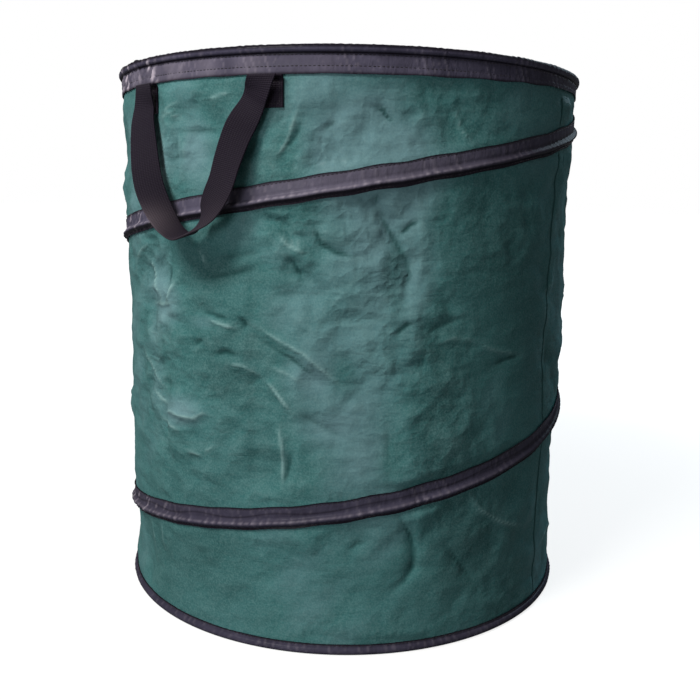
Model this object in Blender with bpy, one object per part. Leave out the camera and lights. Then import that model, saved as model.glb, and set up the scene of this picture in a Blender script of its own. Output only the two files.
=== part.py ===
"""A pop-up garden waste bag, open at the top, with two carrying handles.

A tube of coated woven cloth stands on a round base panel. Three spring wires hold it open: a hoop in
the rim binding, a hoop in the base binding, and a spiral that runs up the wall in a sewn-on tape.
Pushed down, the rim drops on to the base, and the spiral lifts it again. Each handle is a length of
webbing whose ends are sewn under the rim and whose loop swings about the fold at its ends.

The frame has +Z up, its origin at the middle of the base on the ground, and the front handle at -Y.
Angles run anticlockwise seen from above, from +X.
"""

import math

import bpy
import numpy as np

MM = 0.001
DEGREE = math.pi / 180

# Overall size: the outside of the cloth wall, and the ground to the top of the rim
WALL_DIAMETER = 458 * MM
BAG_HEIGHT = 515 * MM

# Round pieces share these facets, so that one piece lies against another all the way round
FACETS = 48
FACET_ANGLE = 2 * math.pi / FACETS
SEWN_GAP = 0.3 * MM

# Cloth and tape
CLOTH_THICKNESS = 0.8 * MM
TAPE_THICKNESS = 0.6 * MM
THREAD_DIAMETER = 0.6 * MM

# Spring wires and the sleeves that close the two hoops
WIRE_DIAMETER = 3.0 * MM
TUNNEL_PLAY = 0.5 * MM
SLEEVE_WALL = 0.5 * MM
SLEEVE_LENGTH = 20 * MM
SLEEVE_SIDES = 12
HOOP_END_GAP = 1.0 * MM
SLEEVE_FACET = 0

# Rim binding: a tape folded over the hoop and the top of the wall
RIM_BINDING_HEIGHT = 22.5 * MM
RIM_STITCH_FROM_EDGE = 6.0 * MM
RIM_STITCH_UNDER_BEAD = 1.2 * MM

# Base binding: a tape that runs down the wall, round the hoop and in under the base panel
BASE_BINDING_HEIGHT = 9.5 * MM
BASE_BINDING_INWARD = 12 * MM
BASE_STITCH_FROM_EDGE = 1.2 * MM
BASE_LIP_HEIGHT = 12 * MM

# Spiral: its tape is as wide as this up the wall, and its wire runs below the tape's middle
SPIRAL_TAPE_WIDTH = 20 * MM
SPIRAL_WIRE_DROP = 3.0 * MM
SPIRAL_STITCH_FROM_EDGE = 1.8 * MM
SPIRAL_FIRST_FACET = 18
SPIRAL_FACETS = 82
SPIRAL_ABOVE_BASE_BINDING = 3.1 * MM
SPIRAL_BELOW_RIM_BINDING = 2.9 * MM
SPIRAL_SWAY = 9.9 * MM
SPIRAL_SWAY_ANGLE = 153.3 * DEGREE

# Side seam: the wall cloth's two ends meet here, covered inside by a tape
SEAM_ANGLE = 0 * DEGREE
SEAM_TAPE_WIDTH = 17 * MM

# Handles: webbing sewn on at two places, and the loop between them
WEBBING_WIDTH = 25 * MM
WEBBING_THICKNESS = 1.5 * MM
HANDLE_SPACING = 130 * MM
HANDLE_DROP = 128 * MM
HANDLE_PLAY = 2.2 * MM
SEWN_END_LENGTH = 25.5 * MM
FOLD_HEIGHT = 3.0 * MM
FOLD_PAST_BEAD = 1.5 * MM
BOX_STITCH_INSET = 3.0 * MM
LOOP_STATIONS = 36
FRONT = -90 * DEGREE
BACK = 90 * DEGREE

# Points along the front loop from its left end: sideways as a share of half the spacing, and down as
# a share of the drop. The left leg hangs fuller than the right one.
LOOP_POINTS = (
    (-1.00, 0.00),
    (-1.00, 0.04),
    (-1.03, 0.14),
    (-0.98, 0.27),
    (-0.81, 0.51),
    (-0.68, 0.66),
    (-0.53, 0.77),
    (-0.37, 0.87),
    (-0.19, 0.96),
    (0.00, 1.00),
    (0.19, 0.96),
    (0.37, 0.87),
    (0.51, 0.76),
    (0.62, 0.65),
    (0.70, 0.51),
    (0.80, 0.32),
    (0.95, 0.15),
    (0.99, 0.08),
    (1.00, 0.04),
    (1.00, 0.00),
)
LOOP_STRAIGHT_SHARE = 0.20
LOOP_TURN = -80 * DEGREE
LOOP_TURN_SPREAD = 0.18

# Sizes that follow from the ones above
WALL_OUTER = WALL_DIAMETER / 2
WALL_INNER = WALL_OUTER - CLOTH_THICKNESS
WIRE_RADIUS = WIRE_DIAMETER / 2
THREAD_RADIUS = THREAD_DIAMETER / 2
SLEEVE_INNER = WIRE_RADIUS + SEWN_GAP
SLEEVE_OUTER = SLEEVE_INNER + SLEEVE_WALL
HOOP_TUNNEL = SLEEVE_OUTER + TUNNEL_PLAY
BEAD_RADIUS = HOOP_TUNNEL + TAPE_THICKNESS
HOOP_RADIUS = WALL_OUTER + 0.4 * MM
FOLD_REACH = HOOP_RADIUS + BEAD_RADIUS + FOLD_PAST_BEAD
RIM_HOOP_HEIGHT = BAG_HEIGHT - BEAD_RADIUS
RIM_BINDING_BOTTOM = BAG_HEIGHT - RIM_BINDING_HEIGHT
OUTER_FLANGE = WALL_OUTER + SEWN_GAP
INNER_FLANGE = WALL_INNER - SEWN_GAP
WALL_BOTTOM = BEAD_RADIUS + HOOP_TUNNEL + 2 * SEWN_GAP - TAPE_THICKNESS
WALL_TOP = RIM_HOOP_HEIGHT - HOOP_TUNNEL - 2 * SEWN_GAP
SPIRAL_TUNNEL = WIRE_RADIUS + TUNNEL_PLAY
SPIRAL_RIDGE = WIRE_RADIUS + SEWN_GAP + SPIRAL_TUNNEL + TAPE_THICKNESS
SEWN_END_TOP = RIM_BINDING_BOTTOM - SEWN_GAP
HINGE_HEIGHT = SEWN_END_TOP - 0.5 * MM


def clear_scene():
    for item in list(bpy.data.objects):
        bpy.data.objects.remove(item, do_unlink=True)


def material(name, colour, roughness, metallic=0.0):
    made = bpy.data.materials.new(name)
    made.use_nodes = True
    shader = made.node_tree.nodes["Principled BSDF"]
    shader.inputs["Base Color"].default_value = (*colour, 1.0)
    shader.inputs["Roughness"].default_value = roughness
    shader.inputs["Metallic"].default_value = metallic
    return made


def flat_radius(angle, radius):
    """The distance from the axis to a round piece's facet, whose corners lie at this radius."""
    into_facet = angle % FACET_ANGLE - FACET_ANGLE / 2
    return radius * math.cos(FACET_ANGLE / 2) / math.cos(into_facet)


def on_facet(angle, radius, height):
    across = flat_radius(angle, radius)
    return (across * math.cos(angle), across * math.sin(angle), height)


def corner_angles(first, last):
    """From first to last, with every facet corner between them."""
    start = math.floor(first / FACET_ANGLE + 1e-6) + 1
    stop = math.ceil(last / FACET_ANGLE - 1e-6)
    return [first] + [FACET_ANGLE * i for i in range(start, stop)] + [last]


def mesh_object(name, points, faces, finish):
    mesh = bpy.data.meshes.new(name)
    mesh.from_pydata([tuple(point) for point in points], [], faces)
    mesh.materials.append(finish)
    mesh.validate()
    mesh.shade_smooth()
    mesh.set_sharp_from_angle(angle=35 * DEGREE)
    made = bpy.data.objects.new(name, mesh)
    bpy.context.scene.collection.objects.link(made)
    return made


def skinned(name, sections, finish, ring=False):
    """A solid through sections of equally many points, joined end to start or capped at both ends."""
    count = len(sections)
    size = len(sections[0])
    points = [point for section in sections for point in section]
    faces = []
    for i in range(count if ring else count - 1):
        here = i * size
        there = (i + 1) % count * size
        for j in range(size):
            k = (j + 1) % size
            faces.append((here + j, here + k, there + k, there + j))
    if not ring:
        faces.append(tuple(reversed(range(size))))
        faces.append(tuple(range((count - 1) * size, count * size)))
    return mesh_object(name, points, faces, finish)


def turned_ring(name, profile, finish):
    """A profile of (radius, height) points, clockwise with the axis on its left, carried round it."""
    sections = [
        [on_facet(FACET_ANGLE * i, radius, height) for radius, height in profile]
        for i in range(FACETS)
    ]
    return skinned(name, sections, finish, ring=True)


def turned_solid(name, profile, finish):
    """A profile that starts and ends on the axis, under and over the solid, which caps close."""
    sections = [
        [on_facet(FACET_ANGLE * i, radius, height) for i in range(FACETS)]
        for radius, height in profile
    ]
    return skinned(name, sections, finish)


def wire(name, points, radius, finish, ring=False, sides=6):
    """A round wire or thread through points, as a curve with a bevel."""
    curve = bpy.data.curves.new(name, "CURVE")
    curve.dimensions = "3D"
    curve.bevel_depth = radius
    curve.bevel_resolution = (sides - 4) // 2
    curve.use_fill_caps = not ring
    spline = curve.splines.new("POLY")
    spline.points.add(len(points) - 1)
    for made, point in zip(spline.points, points):
        made.co = (*point, 1.0)
    spline.use_cyclic_u = ring
    curve.materials.append(finish)
    made = bpy.data.objects.new(name, curve)
    bpy.context.scene.collection.objects.link(made)
    return made


def arc(centre, radius, first, last, steps):
    """Points of an arc in a profile, its angles in degrees from outward, anticlockwise upward."""
    return [
        (
            centre[0] + radius * math.cos(angle * DEGREE),
            centre[1] + radius * math.sin(angle * DEGREE),
        )
        for angle in np.linspace(first, last, steps + 1)
    ]


def angle_at_radius(centre, radius, reach):
    """The angle in degrees, from 0 to 180, at which a profile's circle lies this far from the axis."""
    return math.acos((reach - centre[0]) / radius) / DEGREE


def make_wall(cloth):
    profile = [
        (WALL_INNER, WALL_BOTTOM),
        (WALL_INNER, WALL_TOP),
        (WALL_OUTER, WALL_TOP),
        (WALL_OUTER, WALL_BOTTOM),
    ]
    turned_ring("body_panel", profile, cloth)


def make_base_panel(cloth):
    """A disc whose edge turns up inside the wall, above the base hoop."""
    underside = TAPE_THICKNESS + SEWN_GAP
    disc = HOOP_RADIUS - HOOP_TUNNEL - SEWN_GAP
    step_up = BEAD_RADIUS + HOOP_TUNNEL - 2 * SEWN_GAP
    slope = INNER_FLANGE - disc
    profile = [
        (disc, underside),
        (disc, step_up - slope),
        (INNER_FLANGE, step_up + 2 * SEWN_GAP),
        (INNER_FLANGE, BASE_LIP_HEIGHT),
        (INNER_FLANGE - CLOTH_THICKNESS, BASE_LIP_HEIGHT),
        (INNER_FLANGE - CLOTH_THICKNESS, step_up + 3 * SEWN_GAP),
        (disc - CLOTH_THICKNESS, step_up - slope + SEWN_GAP),
        (disc - CLOTH_THICKNESS, underside + CLOTH_THICKNESS),
    ]
    turned_solid("base_panel", profile, cloth)


def make_seam(cloth, thread):
    """A flat tape behind the side seam, inside the bag, with its line of stitches."""
    half = SEAM_TAPE_WIDTH / 2 / WALL_OUTER
    bottom = BASE_LIP_HEIGHT + SEWN_GAP
    top = RIM_BINDING_BOTTOM - SEWN_GAP
    outer = WALL_INNER - SEWN_GAP
    sections = [
        [
            on_facet(angle, outer - TAPE_THICKNESS, bottom),
            on_facet(angle, outer - TAPE_THICKNESS, top),
            on_facet(angle, outer, top),
            on_facet(angle, outer, bottom),
        ]
        for angle in corner_angles(SEAM_ANGLE - half, SEAM_ANGLE + half)
    ]
    skinned("side_seam_tape", sections, cloth)
    across = outer - TAPE_THICKNESS - SEWN_GAP - THREAD_RADIUS
    ends = [bottom + SEWN_GAP, top - SEWN_GAP]
    points = [on_facet(SEAM_ANGLE, across, height) for height in ends]
    wire("side_seam_stitch", points, THREAD_RADIUS, thread, sides=4)


def make_hoop(name, height, steel):
    """An open hoop whose two ends meet in the middle of one facet, inside a straight sleeve."""
    corners = [FACET_ANGLE * (SLEEVE_FACET + i) for i in range(1, FACETS + 1)]
    middle = FACET_ANGLE * (SLEEVE_FACET + 0.5)
    half_gap = math.atan(HOOP_END_GAP / 2 / HOOP_RADIUS)
    angles = [middle + half_gap] + corners + [middle + 2 * math.pi - half_gap]
    points = [on_facet(angle, HOOP_RADIUS, height) for angle in angles]
    wire(name + "_hoop", points, WIRE_RADIUS, steel)
    make_sleeve(name + "_hoop_sleeve", middle, height, steel)


def make_sleeve(name, middle, height, steel):
    """A short tube about the hoop's facet, turned about its own axis and then laid along it."""
    half = SLEEVE_LENGTH / 2
    profile = [(SLEEVE_INNER, -half), (SLEEVE_INNER, half), (SLEEVE_OUTER, half), (SLEEVE_OUTER, -half)]
    sections = []
    for i in range(SLEEVE_SIDES):
        angle = 2 * math.pi * i / SLEEVE_SIDES
        sections.append(
            [
                (along, across * math.cos(angle), across * math.sin(angle))
                for across, along in profile
            ]
        )
    made = skinned(name, sections, steel, ring=True)
    made.location = on_facet(middle, HOOP_RADIUS, height)
    made.rotation_euler = (0, 0, middle + 90 * DEGREE)


def make_rim_binding(tape, thread):
    """A tape folded over the hoop: one flange outside the wall, one inside, open at the bottom."""
    centre = (HOOP_RADIUS, RIM_HOOP_HEIGHT)
    outside = OUTER_FLANGE + TAPE_THICKNESS
    inside = INNER_FLANGE - TAPE_THICKNESS
    bead = arc(
        centre,
        BEAD_RADIUS,
        360 - angle_at_radius(centre, BEAD_RADIUS, inside),
        -angle_at_radius(centre, BEAD_RADIUS, outside),
        8,
    )
    tunnel = arc(
        centre,
        HOOP_TUNNEL,
        -angle_at_radius(centre, HOOP_TUNNEL, OUTER_FLANGE),
        360 - angle_at_radius(centre, HOOP_TUNNEL, INNER_FLANGE),
        7,
    )
    foot = RIM_BINDING_BOTTOM
    profile = [(inside, foot)] + bead + [(outside, foot), (OUTER_FLANGE, foot)]
    profile += tunnel + [(INNER_FLANGE, foot)]
    turned_ring("rim_binding", profile, tape)
    across = outside + SEWN_GAP + THREAD_RADIUS
    rows = (
        ("rim_lower_stitch", foot + RIM_STITCH_FROM_EDGE),
        ("rim_upper_stitch", RIM_HOOP_HEIGHT - BEAD_RADIUS - RIM_STITCH_UNDER_BEAD),
    )
    for name, height in rows:
        make_round_stitch(name, across, height, thread)


def make_round_stitch(name, across, height, thread):
    points = [on_facet(FACET_ANGLE * i, across, height) for i in range(FACETS)]
    wire(name, points, THREAD_RADIUS, thread, ring=True, sides=4)


def make_base_binding(tape, thread):
    """A tape down the wall, round the outside of the hoop and flat under the base panel."""
    centre = (HOOP_RADIUS, BEAD_RADIUS)
    outside = OUTER_FLANGE + TAPE_THICKNESS
    inward = HOOP_RADIUS - BASE_BINDING_INWARD
    bead = arc(centre, BEAD_RADIUS, angle_at_radius(centre, BEAD_RADIUS, outside), -90, 7)
    tunnel = arc(centre, HOOP_TUNNEL, -90, angle_at_radius(centre, HOOP_TUNNEL, OUTER_FLANGE), 7)
    top = BASE_BINDING_HEIGHT
    profile = [(outside, top)] + bead + [(inward, 0.0), (inward, TAPE_THICKNESS)]
    profile += tunnel + [(OUTER_FLANGE, top)]
    turned_ring("base_binding", profile, tape)
    across = outside + SEWN_GAP + THREAD_RADIUS
    make_round_stitch("base_stitch", across, top - BASE_STITCH_FROM_EDGE, thread)


def spiral_height(angle):
    """The tape's middle: a steady climb between the two bindings, with one slow sway each turn."""
    first = FACET_ANGLE * SPIRAL_FIRST_FACET
    last = FACET_ANGLE * (SPIRAL_FIRST_FACET + SPIRAL_FACETS)
    half = SPIRAL_TAPE_WIDTH / 2
    bottom = BASE_BINDING_HEIGHT + SPIRAL_ABOVE_BASE_BINDING + half
    top = RIM_BINDING_BOTTOM - SPIRAL_BELOW_RIM_BINDING - half
    share = (angle - first) / (last - first)
    low, here, high = (
        SPIRAL_SWAY * math.cos(turn - SPIRAL_SWAY_ANGLE) for turn in (first, angle, last)
    )
    return bottom + (top - bottom) * share + here - low - (high - low) * share


def spiral_angles(trim=0.0):
    first = FACET_ANGLE * SPIRAL_FIRST_FACET
    last = FACET_ANGLE * (SPIRAL_FIRST_FACET + SPIRAL_FACETS)
    return corner_angles(first + trim, last - trim)


def make_spiral(tape, steel, thread):
    """The spiral wire, and the tape that is sewn over it along both edges."""
    middle = (SEWN_GAP + WIRE_RADIUS, -SPIRAL_WIRE_DROP)
    half = SPIRAL_TAPE_WIDTH / 2
    under = SEWN_GAP
    over = SEWN_GAP + TAPE_THICKNESS
    ridge = SPIRAL_TUNNEL + TAPE_THICKNESS
    foot = 180 - angle_at_radius(middle, ridge, over)
    root = 180 - angle_at_radius(middle, SPIRAL_TUNNEL, under)
    profile = [(under, half), (over, half)]
    profile += arc(middle, ridge, 180 - foot, foot - 180, 6)
    profile += [(over, -half), (under, -half)]
    profile += arc(middle, SPIRAL_TUNNEL, root - 180, 180 - root, 6)
    sections = [
        [
            on_facet(angle, WALL_OUTER + across, spiral_height(angle) + along)
            for across, along in profile
        ]
        for angle in spiral_angles()
    ]
    skinned("spiral_binding", sections, tape)
    trim = SEWN_GAP * 10 / WALL_OUTER
    points = [
        on_facet(angle, WALL_OUTER + middle[0], spiral_height(angle) + middle[1])
        for angle in spiral_angles(trim)
    ]
    wire("spiral_spring", points, WIRE_RADIUS, steel)
    across = WALL_OUTER + over + SEWN_GAP + THREAD_RADIUS
    from_middle = half - SPIRAL_STITCH_FROM_EDGE
    for name, along in (("spiral_upper_stitch", from_middle), ("spiral_lower_stitch", -from_middle)):
        points = [
            on_facet(angle, across, spiral_height(angle) + along) for angle in spiral_angles(trim)
        ]
        wire(name, points, THREAD_RADIUS, thread, sides=4)


def sewn_end_angles(side):
    """The first and last angle of one sewn end, measured from its handle's middle."""
    middle = side * math.asin(HANDLE_SPACING / 2 / WALL_OUTER)
    half = WEBBING_WIDTH / 2 / WALL_OUTER
    return middle - half, middle + half


def hinge_reach():
    """The swing axis: just outside the folds of the sewn ends, at the loop's inner edges."""
    inner_edge = HANDLE_SPACING / 2 - WEBBING_WIDTH / 2
    forward = -on_facet(FRONT + math.asin(inner_edge / FOLD_REACH), FOLD_REACH, 0)[1]
    return forward + SEWN_GAP + WEBBING_THICKNESS / 2


def make_sewn_end(name, facing, side, webbing, thread):
    """A webbing end sewn flat on the wall under the rim binding, its top folded forward."""
    near, far = sewn_end_angles(side)
    flat = WALL_OUTER + SEWN_GAP
    bottom = RIM_BINDING_BOTTOM - SEWN_END_LENGTH
    fold_bottom = SEWN_END_TOP - FOLD_HEIGHT
    profile = [
        (flat, bottom),
        (flat, SEWN_END_TOP),
        (FOLD_REACH, SEWN_END_TOP),
        (FOLD_REACH, fold_bottom),
        (flat + WEBBING_THICKNESS, fold_bottom - 1.0 * MM),
        (flat + WEBBING_THICKNESS, bottom),
    ]
    sections = [
        [on_facet(angle, radius, height) for radius, height in profile]
        for angle in corner_angles(facing + near, facing + far)
    ]
    skinned(name, sections, webbing)
    make_box_stitch(name + "_stitch", facing + near, facing + far, bottom, thread)


def make_box_stitch(name, near, far, bottom, thread):
    """One closed line of stitches round the face of a sewn end."""
    inset = BOX_STITCH_INSET / WALL_OUTER
    across = WALL_OUTER + SEWN_GAP + WEBBING_THICKNESS + SEWN_GAP + THREAD_RADIUS
    low = bottom + BOX_STITCH_INSET
    high = RIM_BINDING_BOTTOM - 2 * BOX_STITCH_INSET
    angles = corner_angles(near + inset, far - inset)
    points = [on_facet(angle, across, low) for angle in angles]
    points += [on_facet(angle, across, high) for angle in reversed(angles)]
    wire(name, points, THREAD_RADIUS, thread, ring=True, sides=4)


def smooth_path(points, count):
    """Equally many steps along a curve that passes smoothly through the points."""
    points = np.array(points, float)
    ends = np.vstack([2 * points[0] - points[1], points, 2 * points[-1] - points[-2]])
    fine = []
    for i in range(1, len(ends) - 2):
        before, here, after, beyond = ends[i - 1 : i + 3]
        for t in np.linspace(0, 1, 20, endpoint=False):
            bend = 2 * before - 5 * here + 4 * after - beyond
            twist = 3 * here - before - 3 * after + beyond
            fine.append(0.5 * (2 * here + (after - before) * t + bend * t**2 + twist * t**3))
    fine = np.array(fine + [points[-1]])
    run = np.concatenate([[0], np.cumsum(np.linalg.norm(np.diff(fine, axis=0), axis=1))])
    even = np.linspace(0, run[-1], count + 1)
    return np.column_stack([np.interp(even, run, fine[:, axis]) for axis in range(3)])


def loop_path():
    """The middle of the front loop: down from the swing axis, out past the spiral, and up again."""
    hinge = hinge_reach()
    belly = WALL_OUTER + SPIRAL_RIDGE + HANDLE_PLAY + WEBBING_WIDTH / 2 - hinge
    half = HANDLE_SPACING / 2
    points = []
    for sideways, down in LOOP_POINTS:
        share = max(0.0, (down - LOOP_STRAIGHT_SHARE) / (1 - LOOP_STRAIGHT_SHARE))
        outward = belly * math.sin(share * math.pi / 2)
        points.append((half * sideways, -hinge - outward, HINGE_HEIGHT - HANDLE_DROP * down))
    return smooth_path(points, LOOP_STATIONS)


def make_loop(name, back, webbing):
    """A webbing loop that faces outward at its ends and turns its face up at the bottom."""
    path = loop_path()
    along = np.gradient(path, axis=0)
    along /= np.linalg.norm(along, axis=1)[:, None]
    share = np.linspace(-1, 1, len(path))
    turn = LOOP_TURN * np.exp(-((share / 2 / LOOP_TURN_SPREAD) ** 2))
    sections = []
    for point, tangent, angle in zip(path, along, turn):
        facing = np.array([0.0, -1.0, 0.0])
        sideways = np.cross(tangent, facing)
        sideways /= np.linalg.norm(sideways)
        facing = np.cross(sideways, tangent)
        width = math.cos(angle) * sideways - math.sin(angle) * facing
        face = np.cross(width, tangent)
        reach = WEBBING_WIDTH / 2 * width
        depth = WEBBING_THICKNESS / 2 * face
        corners = (reach - depth, -reach - depth, depth - reach, reach + depth)
        sections.append([point + corner for corner in corners])
    if back:
        sections = [[(-x, -y, z) for x, y, z in section] for section in sections]
    made = skinned(name, sections, webbing)
    side = 1 if back else -1
    swing = bpy.data.objects.new(name + "_swing", None)
    swing.location = (0, side * hinge_reach(), HINGE_HEIGHT)
    bpy.context.scene.collection.objects.link(swing)
    bpy.context.view_layer.update()
    made.parent = swing
    made.matrix_parent_inverse = swing.matrix_world.inverted()


def make_handles(webbing, thread):
    for name, facing in (("front", FRONT), ("back", BACK)):
        make_loop(f"handle_{name}_loop", facing == BACK, webbing)
        for hand, side in (("left", -1), ("right", 1)):
            make_sewn_end(f"handle_{name}_end_{hand}", facing, side, webbing, thread)


def build():
    clear_scene()
    cloth = material("green_coated_cloth", (0.050, 0.155, 0.125), 0.45)
    tape = material("dark_binding_tape", (0.060, 0.045, 0.055), 0.40)
    webbing = material("black_webbing", (0.022, 0.018, 0.024), 0.75)
    thread = material("black_thread", (0.015, 0.013, 0.016), 0.60)
    steel = material("spring_steel", (0.45, 0.45, 0.47), 0.35, metallic=1.0)
    make_wall(cloth)
    make_base_panel(cloth)
    make_seam(tape, thread)
    make_hoop("rim", RIM_HOOP_HEIGHT, steel)
    make_hoop("base", BEAD_RADIUS, steel)
    make_rim_binding(tape, thread)
    make_base_binding(tape, thread)
    make_spiral(tape, steel, thread)
    make_handles(webbing, thread)


build()
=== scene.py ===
import math
from functools import cached_property

import bmesh
import bpy
import numpy as np
from mathutils import Matrix, Vector


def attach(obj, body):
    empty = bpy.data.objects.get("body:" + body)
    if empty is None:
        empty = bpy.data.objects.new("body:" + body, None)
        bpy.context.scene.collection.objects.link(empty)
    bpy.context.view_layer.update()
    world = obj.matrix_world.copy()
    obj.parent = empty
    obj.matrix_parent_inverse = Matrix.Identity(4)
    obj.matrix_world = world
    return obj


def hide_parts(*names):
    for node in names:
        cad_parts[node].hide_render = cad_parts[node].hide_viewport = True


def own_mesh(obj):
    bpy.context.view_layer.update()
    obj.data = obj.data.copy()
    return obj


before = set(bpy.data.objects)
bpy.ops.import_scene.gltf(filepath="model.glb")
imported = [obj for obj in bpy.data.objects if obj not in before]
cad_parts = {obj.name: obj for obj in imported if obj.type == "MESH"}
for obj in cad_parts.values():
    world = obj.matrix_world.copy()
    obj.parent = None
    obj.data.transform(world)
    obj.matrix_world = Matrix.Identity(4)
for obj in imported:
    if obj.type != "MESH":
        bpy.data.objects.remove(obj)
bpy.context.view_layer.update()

# Sizes in metres and places on the bag: +Z up, front handle at -Y, angles anticlockwise from +X
MM = 0.001
TURN = 2 * math.pi
WALL_RADIUS = 229.0 * MM
CLOTH = 0.8 * MM
TAPE = 0.7 * MM
GAP = 0.3 * MM
BAG_HEIGHT = 515 * MM
WALL_BOTTOM = 6.4 * MM
WALL_TOP = 508.0 * MM
RIM_HOOP_HEIGHT = 511.5 * MM
RIM_BINDING_BOTTOM = 492.5 * MM
BASE_BINDING_TOP = 9.5 * MM
BEAD_RADIUS = 3.5 * MM
HOOP_RADIUS = 229.2 * MM

# Radii of the cloth's outer face, of what lies against its inner face, and of a binding's flat outer face
WALL_FACE = WALL_RADIUS - 0.1 * MM
WALL_BACK = WALL_FACE - CLOTH - GAP
FLANGE = WALL_RADIUS + GAP + TAPE

# Grids: columns round the rim binding, the base binding and the base cloth, and steps along the spiral
# tape, its wire, a loop and the seam tape
RIM_COLUMNS = 840
BASE_COLUMNS = 720
BOTTOM_COLUMNS = 300
SPIRAL_STEPS = 1180
WIRE_STEPS = 620
LOOP_STEPS = 340
SEAM_STEPS = 240

# Rows of stitches: heights on the rim and base bindings, and places across the spiral tape
RIM_ROWS = (498.5 * MM, 507.0 * MM)
BASE_ROW = 8.3 * MM
SPIRAL_ROWS = (8.2 * MM, -8.2 * MM)
STITCH_PITCH = 3.6 * MM
STITCH_LENGTH = 2.9 * MM
STITCH_RADIUS = 0.34 * MM

# Spiral tape: its first and last angle, the heights of its middle there, its sway, its half width, the cosine
# of its climb, and its wire
SPIRAL_FIRST = math.radians(135)
SPIRAL_LAST = math.radians(750)
SPIRAL_BOTTOM = 22.6 * MM
SPIRAL_TOP = 479.6 * MM
SPIRAL_SWAY = 9.9 * MM
SPIRAL_SWAY_ANGLE = math.radians(153.3)
SPIRAL_HALF = 10 * MM
SPIRAL_SLANT = 0.98
WIRE_DROP = 4.6 * MM
WIRE_RADIUS = 1.5 * MM

# Handles: their fold, half the spacing of the ends, the drop, the webbing, and the sewn ends
HINGE_REACH = 229.004 * MM
HINGE_HEIGHT = 491.7 * MM
HANDLE_HALF = 65 * MM
HANDLE_DROP = 128 * MM
WEBBING_HALF = 12.5 * MM
WEBBING_THICK = 1.5 * MM
SEWN_BOTTOM = 467.0 * MM
END_ANGLE = math.asin(HANDLE_HALF / WALL_RADIUS)

# Seeded waves: how many are added, and what their sum is divided by to stay near -1 to 1
WAVES = 14
WAVES_SUM = 3.2

# Facets: how far their corners are shaken, how their levels are spread, and how their columns lean
FACET_SHAKE = 0.27
FACET_CONTRAST = 1.3
FACET_LEAN = 0.5

# Camera
CAMERA_PLACE = (0.4878, -0.7599, 0.3948)
CAMERA_TURN = math.radians(32.4)
CAMERA_PITCH = math.radians(10.179)
CAMERA_ROLL = math.radians(0.877)
LENS = 42.60
SENSOR = 36
FAR_CLIP = 100

# Lamps: angle in degrees, distance and height in metres, height aimed at, size, watts, colour
LAMPS = {
    "key": (262, 1.65, 1.95, 0.28, 0.8, 76, (1, 0.985, 0.93)),
    "back": (80, 2.2, 1.7, 0.25, 1.6, 54, (0.72, 0.96, 1.12)),
    "low": (274, 2.2, 0.40, 0.25, 0.8, 18, (0.94, 0.97, 1.0)),
}
FLOOR_HALF = 40.0
SKY_LIGHT = 0.09

# Colours of the cloth and the tapes: plain, pale (the cloth's pale flecks and its painted highlights on
# ridges), deep or dark (the tapes' dark edge lines and painted shade), the cloth's painted sheen, and the
# tapes' painted highlight
CLOTH_PLAIN = (0.036, 0.112, 0.115)
CLOTH_PALE = (0.175, 0.285, 0.285)
CLOTH_DEEP = (0.026, 0.092, 0.092)
CLOTH_SHEEN = (0.165, 0.247, 0.288)
# This share of the deep colour gives the dark used for painted shade in valleys and deep patches, and for the
# weave's hollows
DARK_SHARE = 0.45
TAPE_PLAIN = (0.032, 0.029, 0.047)
TAPE_PALE = (0.056, 0.051, 0.080)
TAPE_DARK = (0.004, 0.003, 0.005)
TAPE_HIGHLIGHT = (0.300, 0.262, 0.310)

# Colours of the webbing, the thread and the wire, with the webbing's painted highlight
WEBBING_PLAIN = (0.0042, 0.0029, 0.0056)
WEBBING_PALE = (0.0125, 0.009, 0.016)
WEBBING_HIGHLIGHT = (0.085, 0.068, 0.080)
THREAD_PLAIN = (0.010, 0.009, 0.011)
THREAD_PALE = (0.024, 0.021, 0.025)
STEEL_DARK = (0.42, 0.42, 0.44)
STEEL_BRIGHT = (0.58, 0.58, 0.60)


# Meshes from grids

def add_object(name, data):
    """A new object in the scene."""
    made = bpy.data.objects.new(name, data)
    bpy.context.scene.collection.objects.link(made)
    return made


def put_mesh(name, points, faces, places, finish, fields=None, sharp=40):
    """One mesh from points, faces, and each corner's place on the cloth in metres, turned to face outward."""
    points = np.asarray(points, float).reshape(-1, 3)
    quads = np.asarray(faces)
    middle = points.mean(0)
    a, b, c, d = (points[quads[:, k]] - middle for k in range(4))
    volume = (np.cross(a, b) * c).sum() + (np.cross(a, c) * d).sum()
    if volume < 0:
        quads = quads[:, ::-1]
        places = places[:, ::-1]
    mesh = bpy.data.meshes.new(name)
    mesh.from_pydata(points, [], quads)
    layer = mesh.uv_layers.new(name="UVMap")
    layer.data.foreach_set("uv", np.ascontiguousarray(places, np.float32).ravel())
    for key, values in (fields or {}).items():
        attribute = mesh.attributes.new(key, "FLOAT", "POINT")
        attribute.data.foreach_set("value", np.asarray(values, np.float32).ravel())
    mesh.materials.append(finish)
    mesh.shade_smooth()
    mesh.set_sharp_from_angle(angle=math.radians(sharp))
    return add_object(name, mesh)


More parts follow.
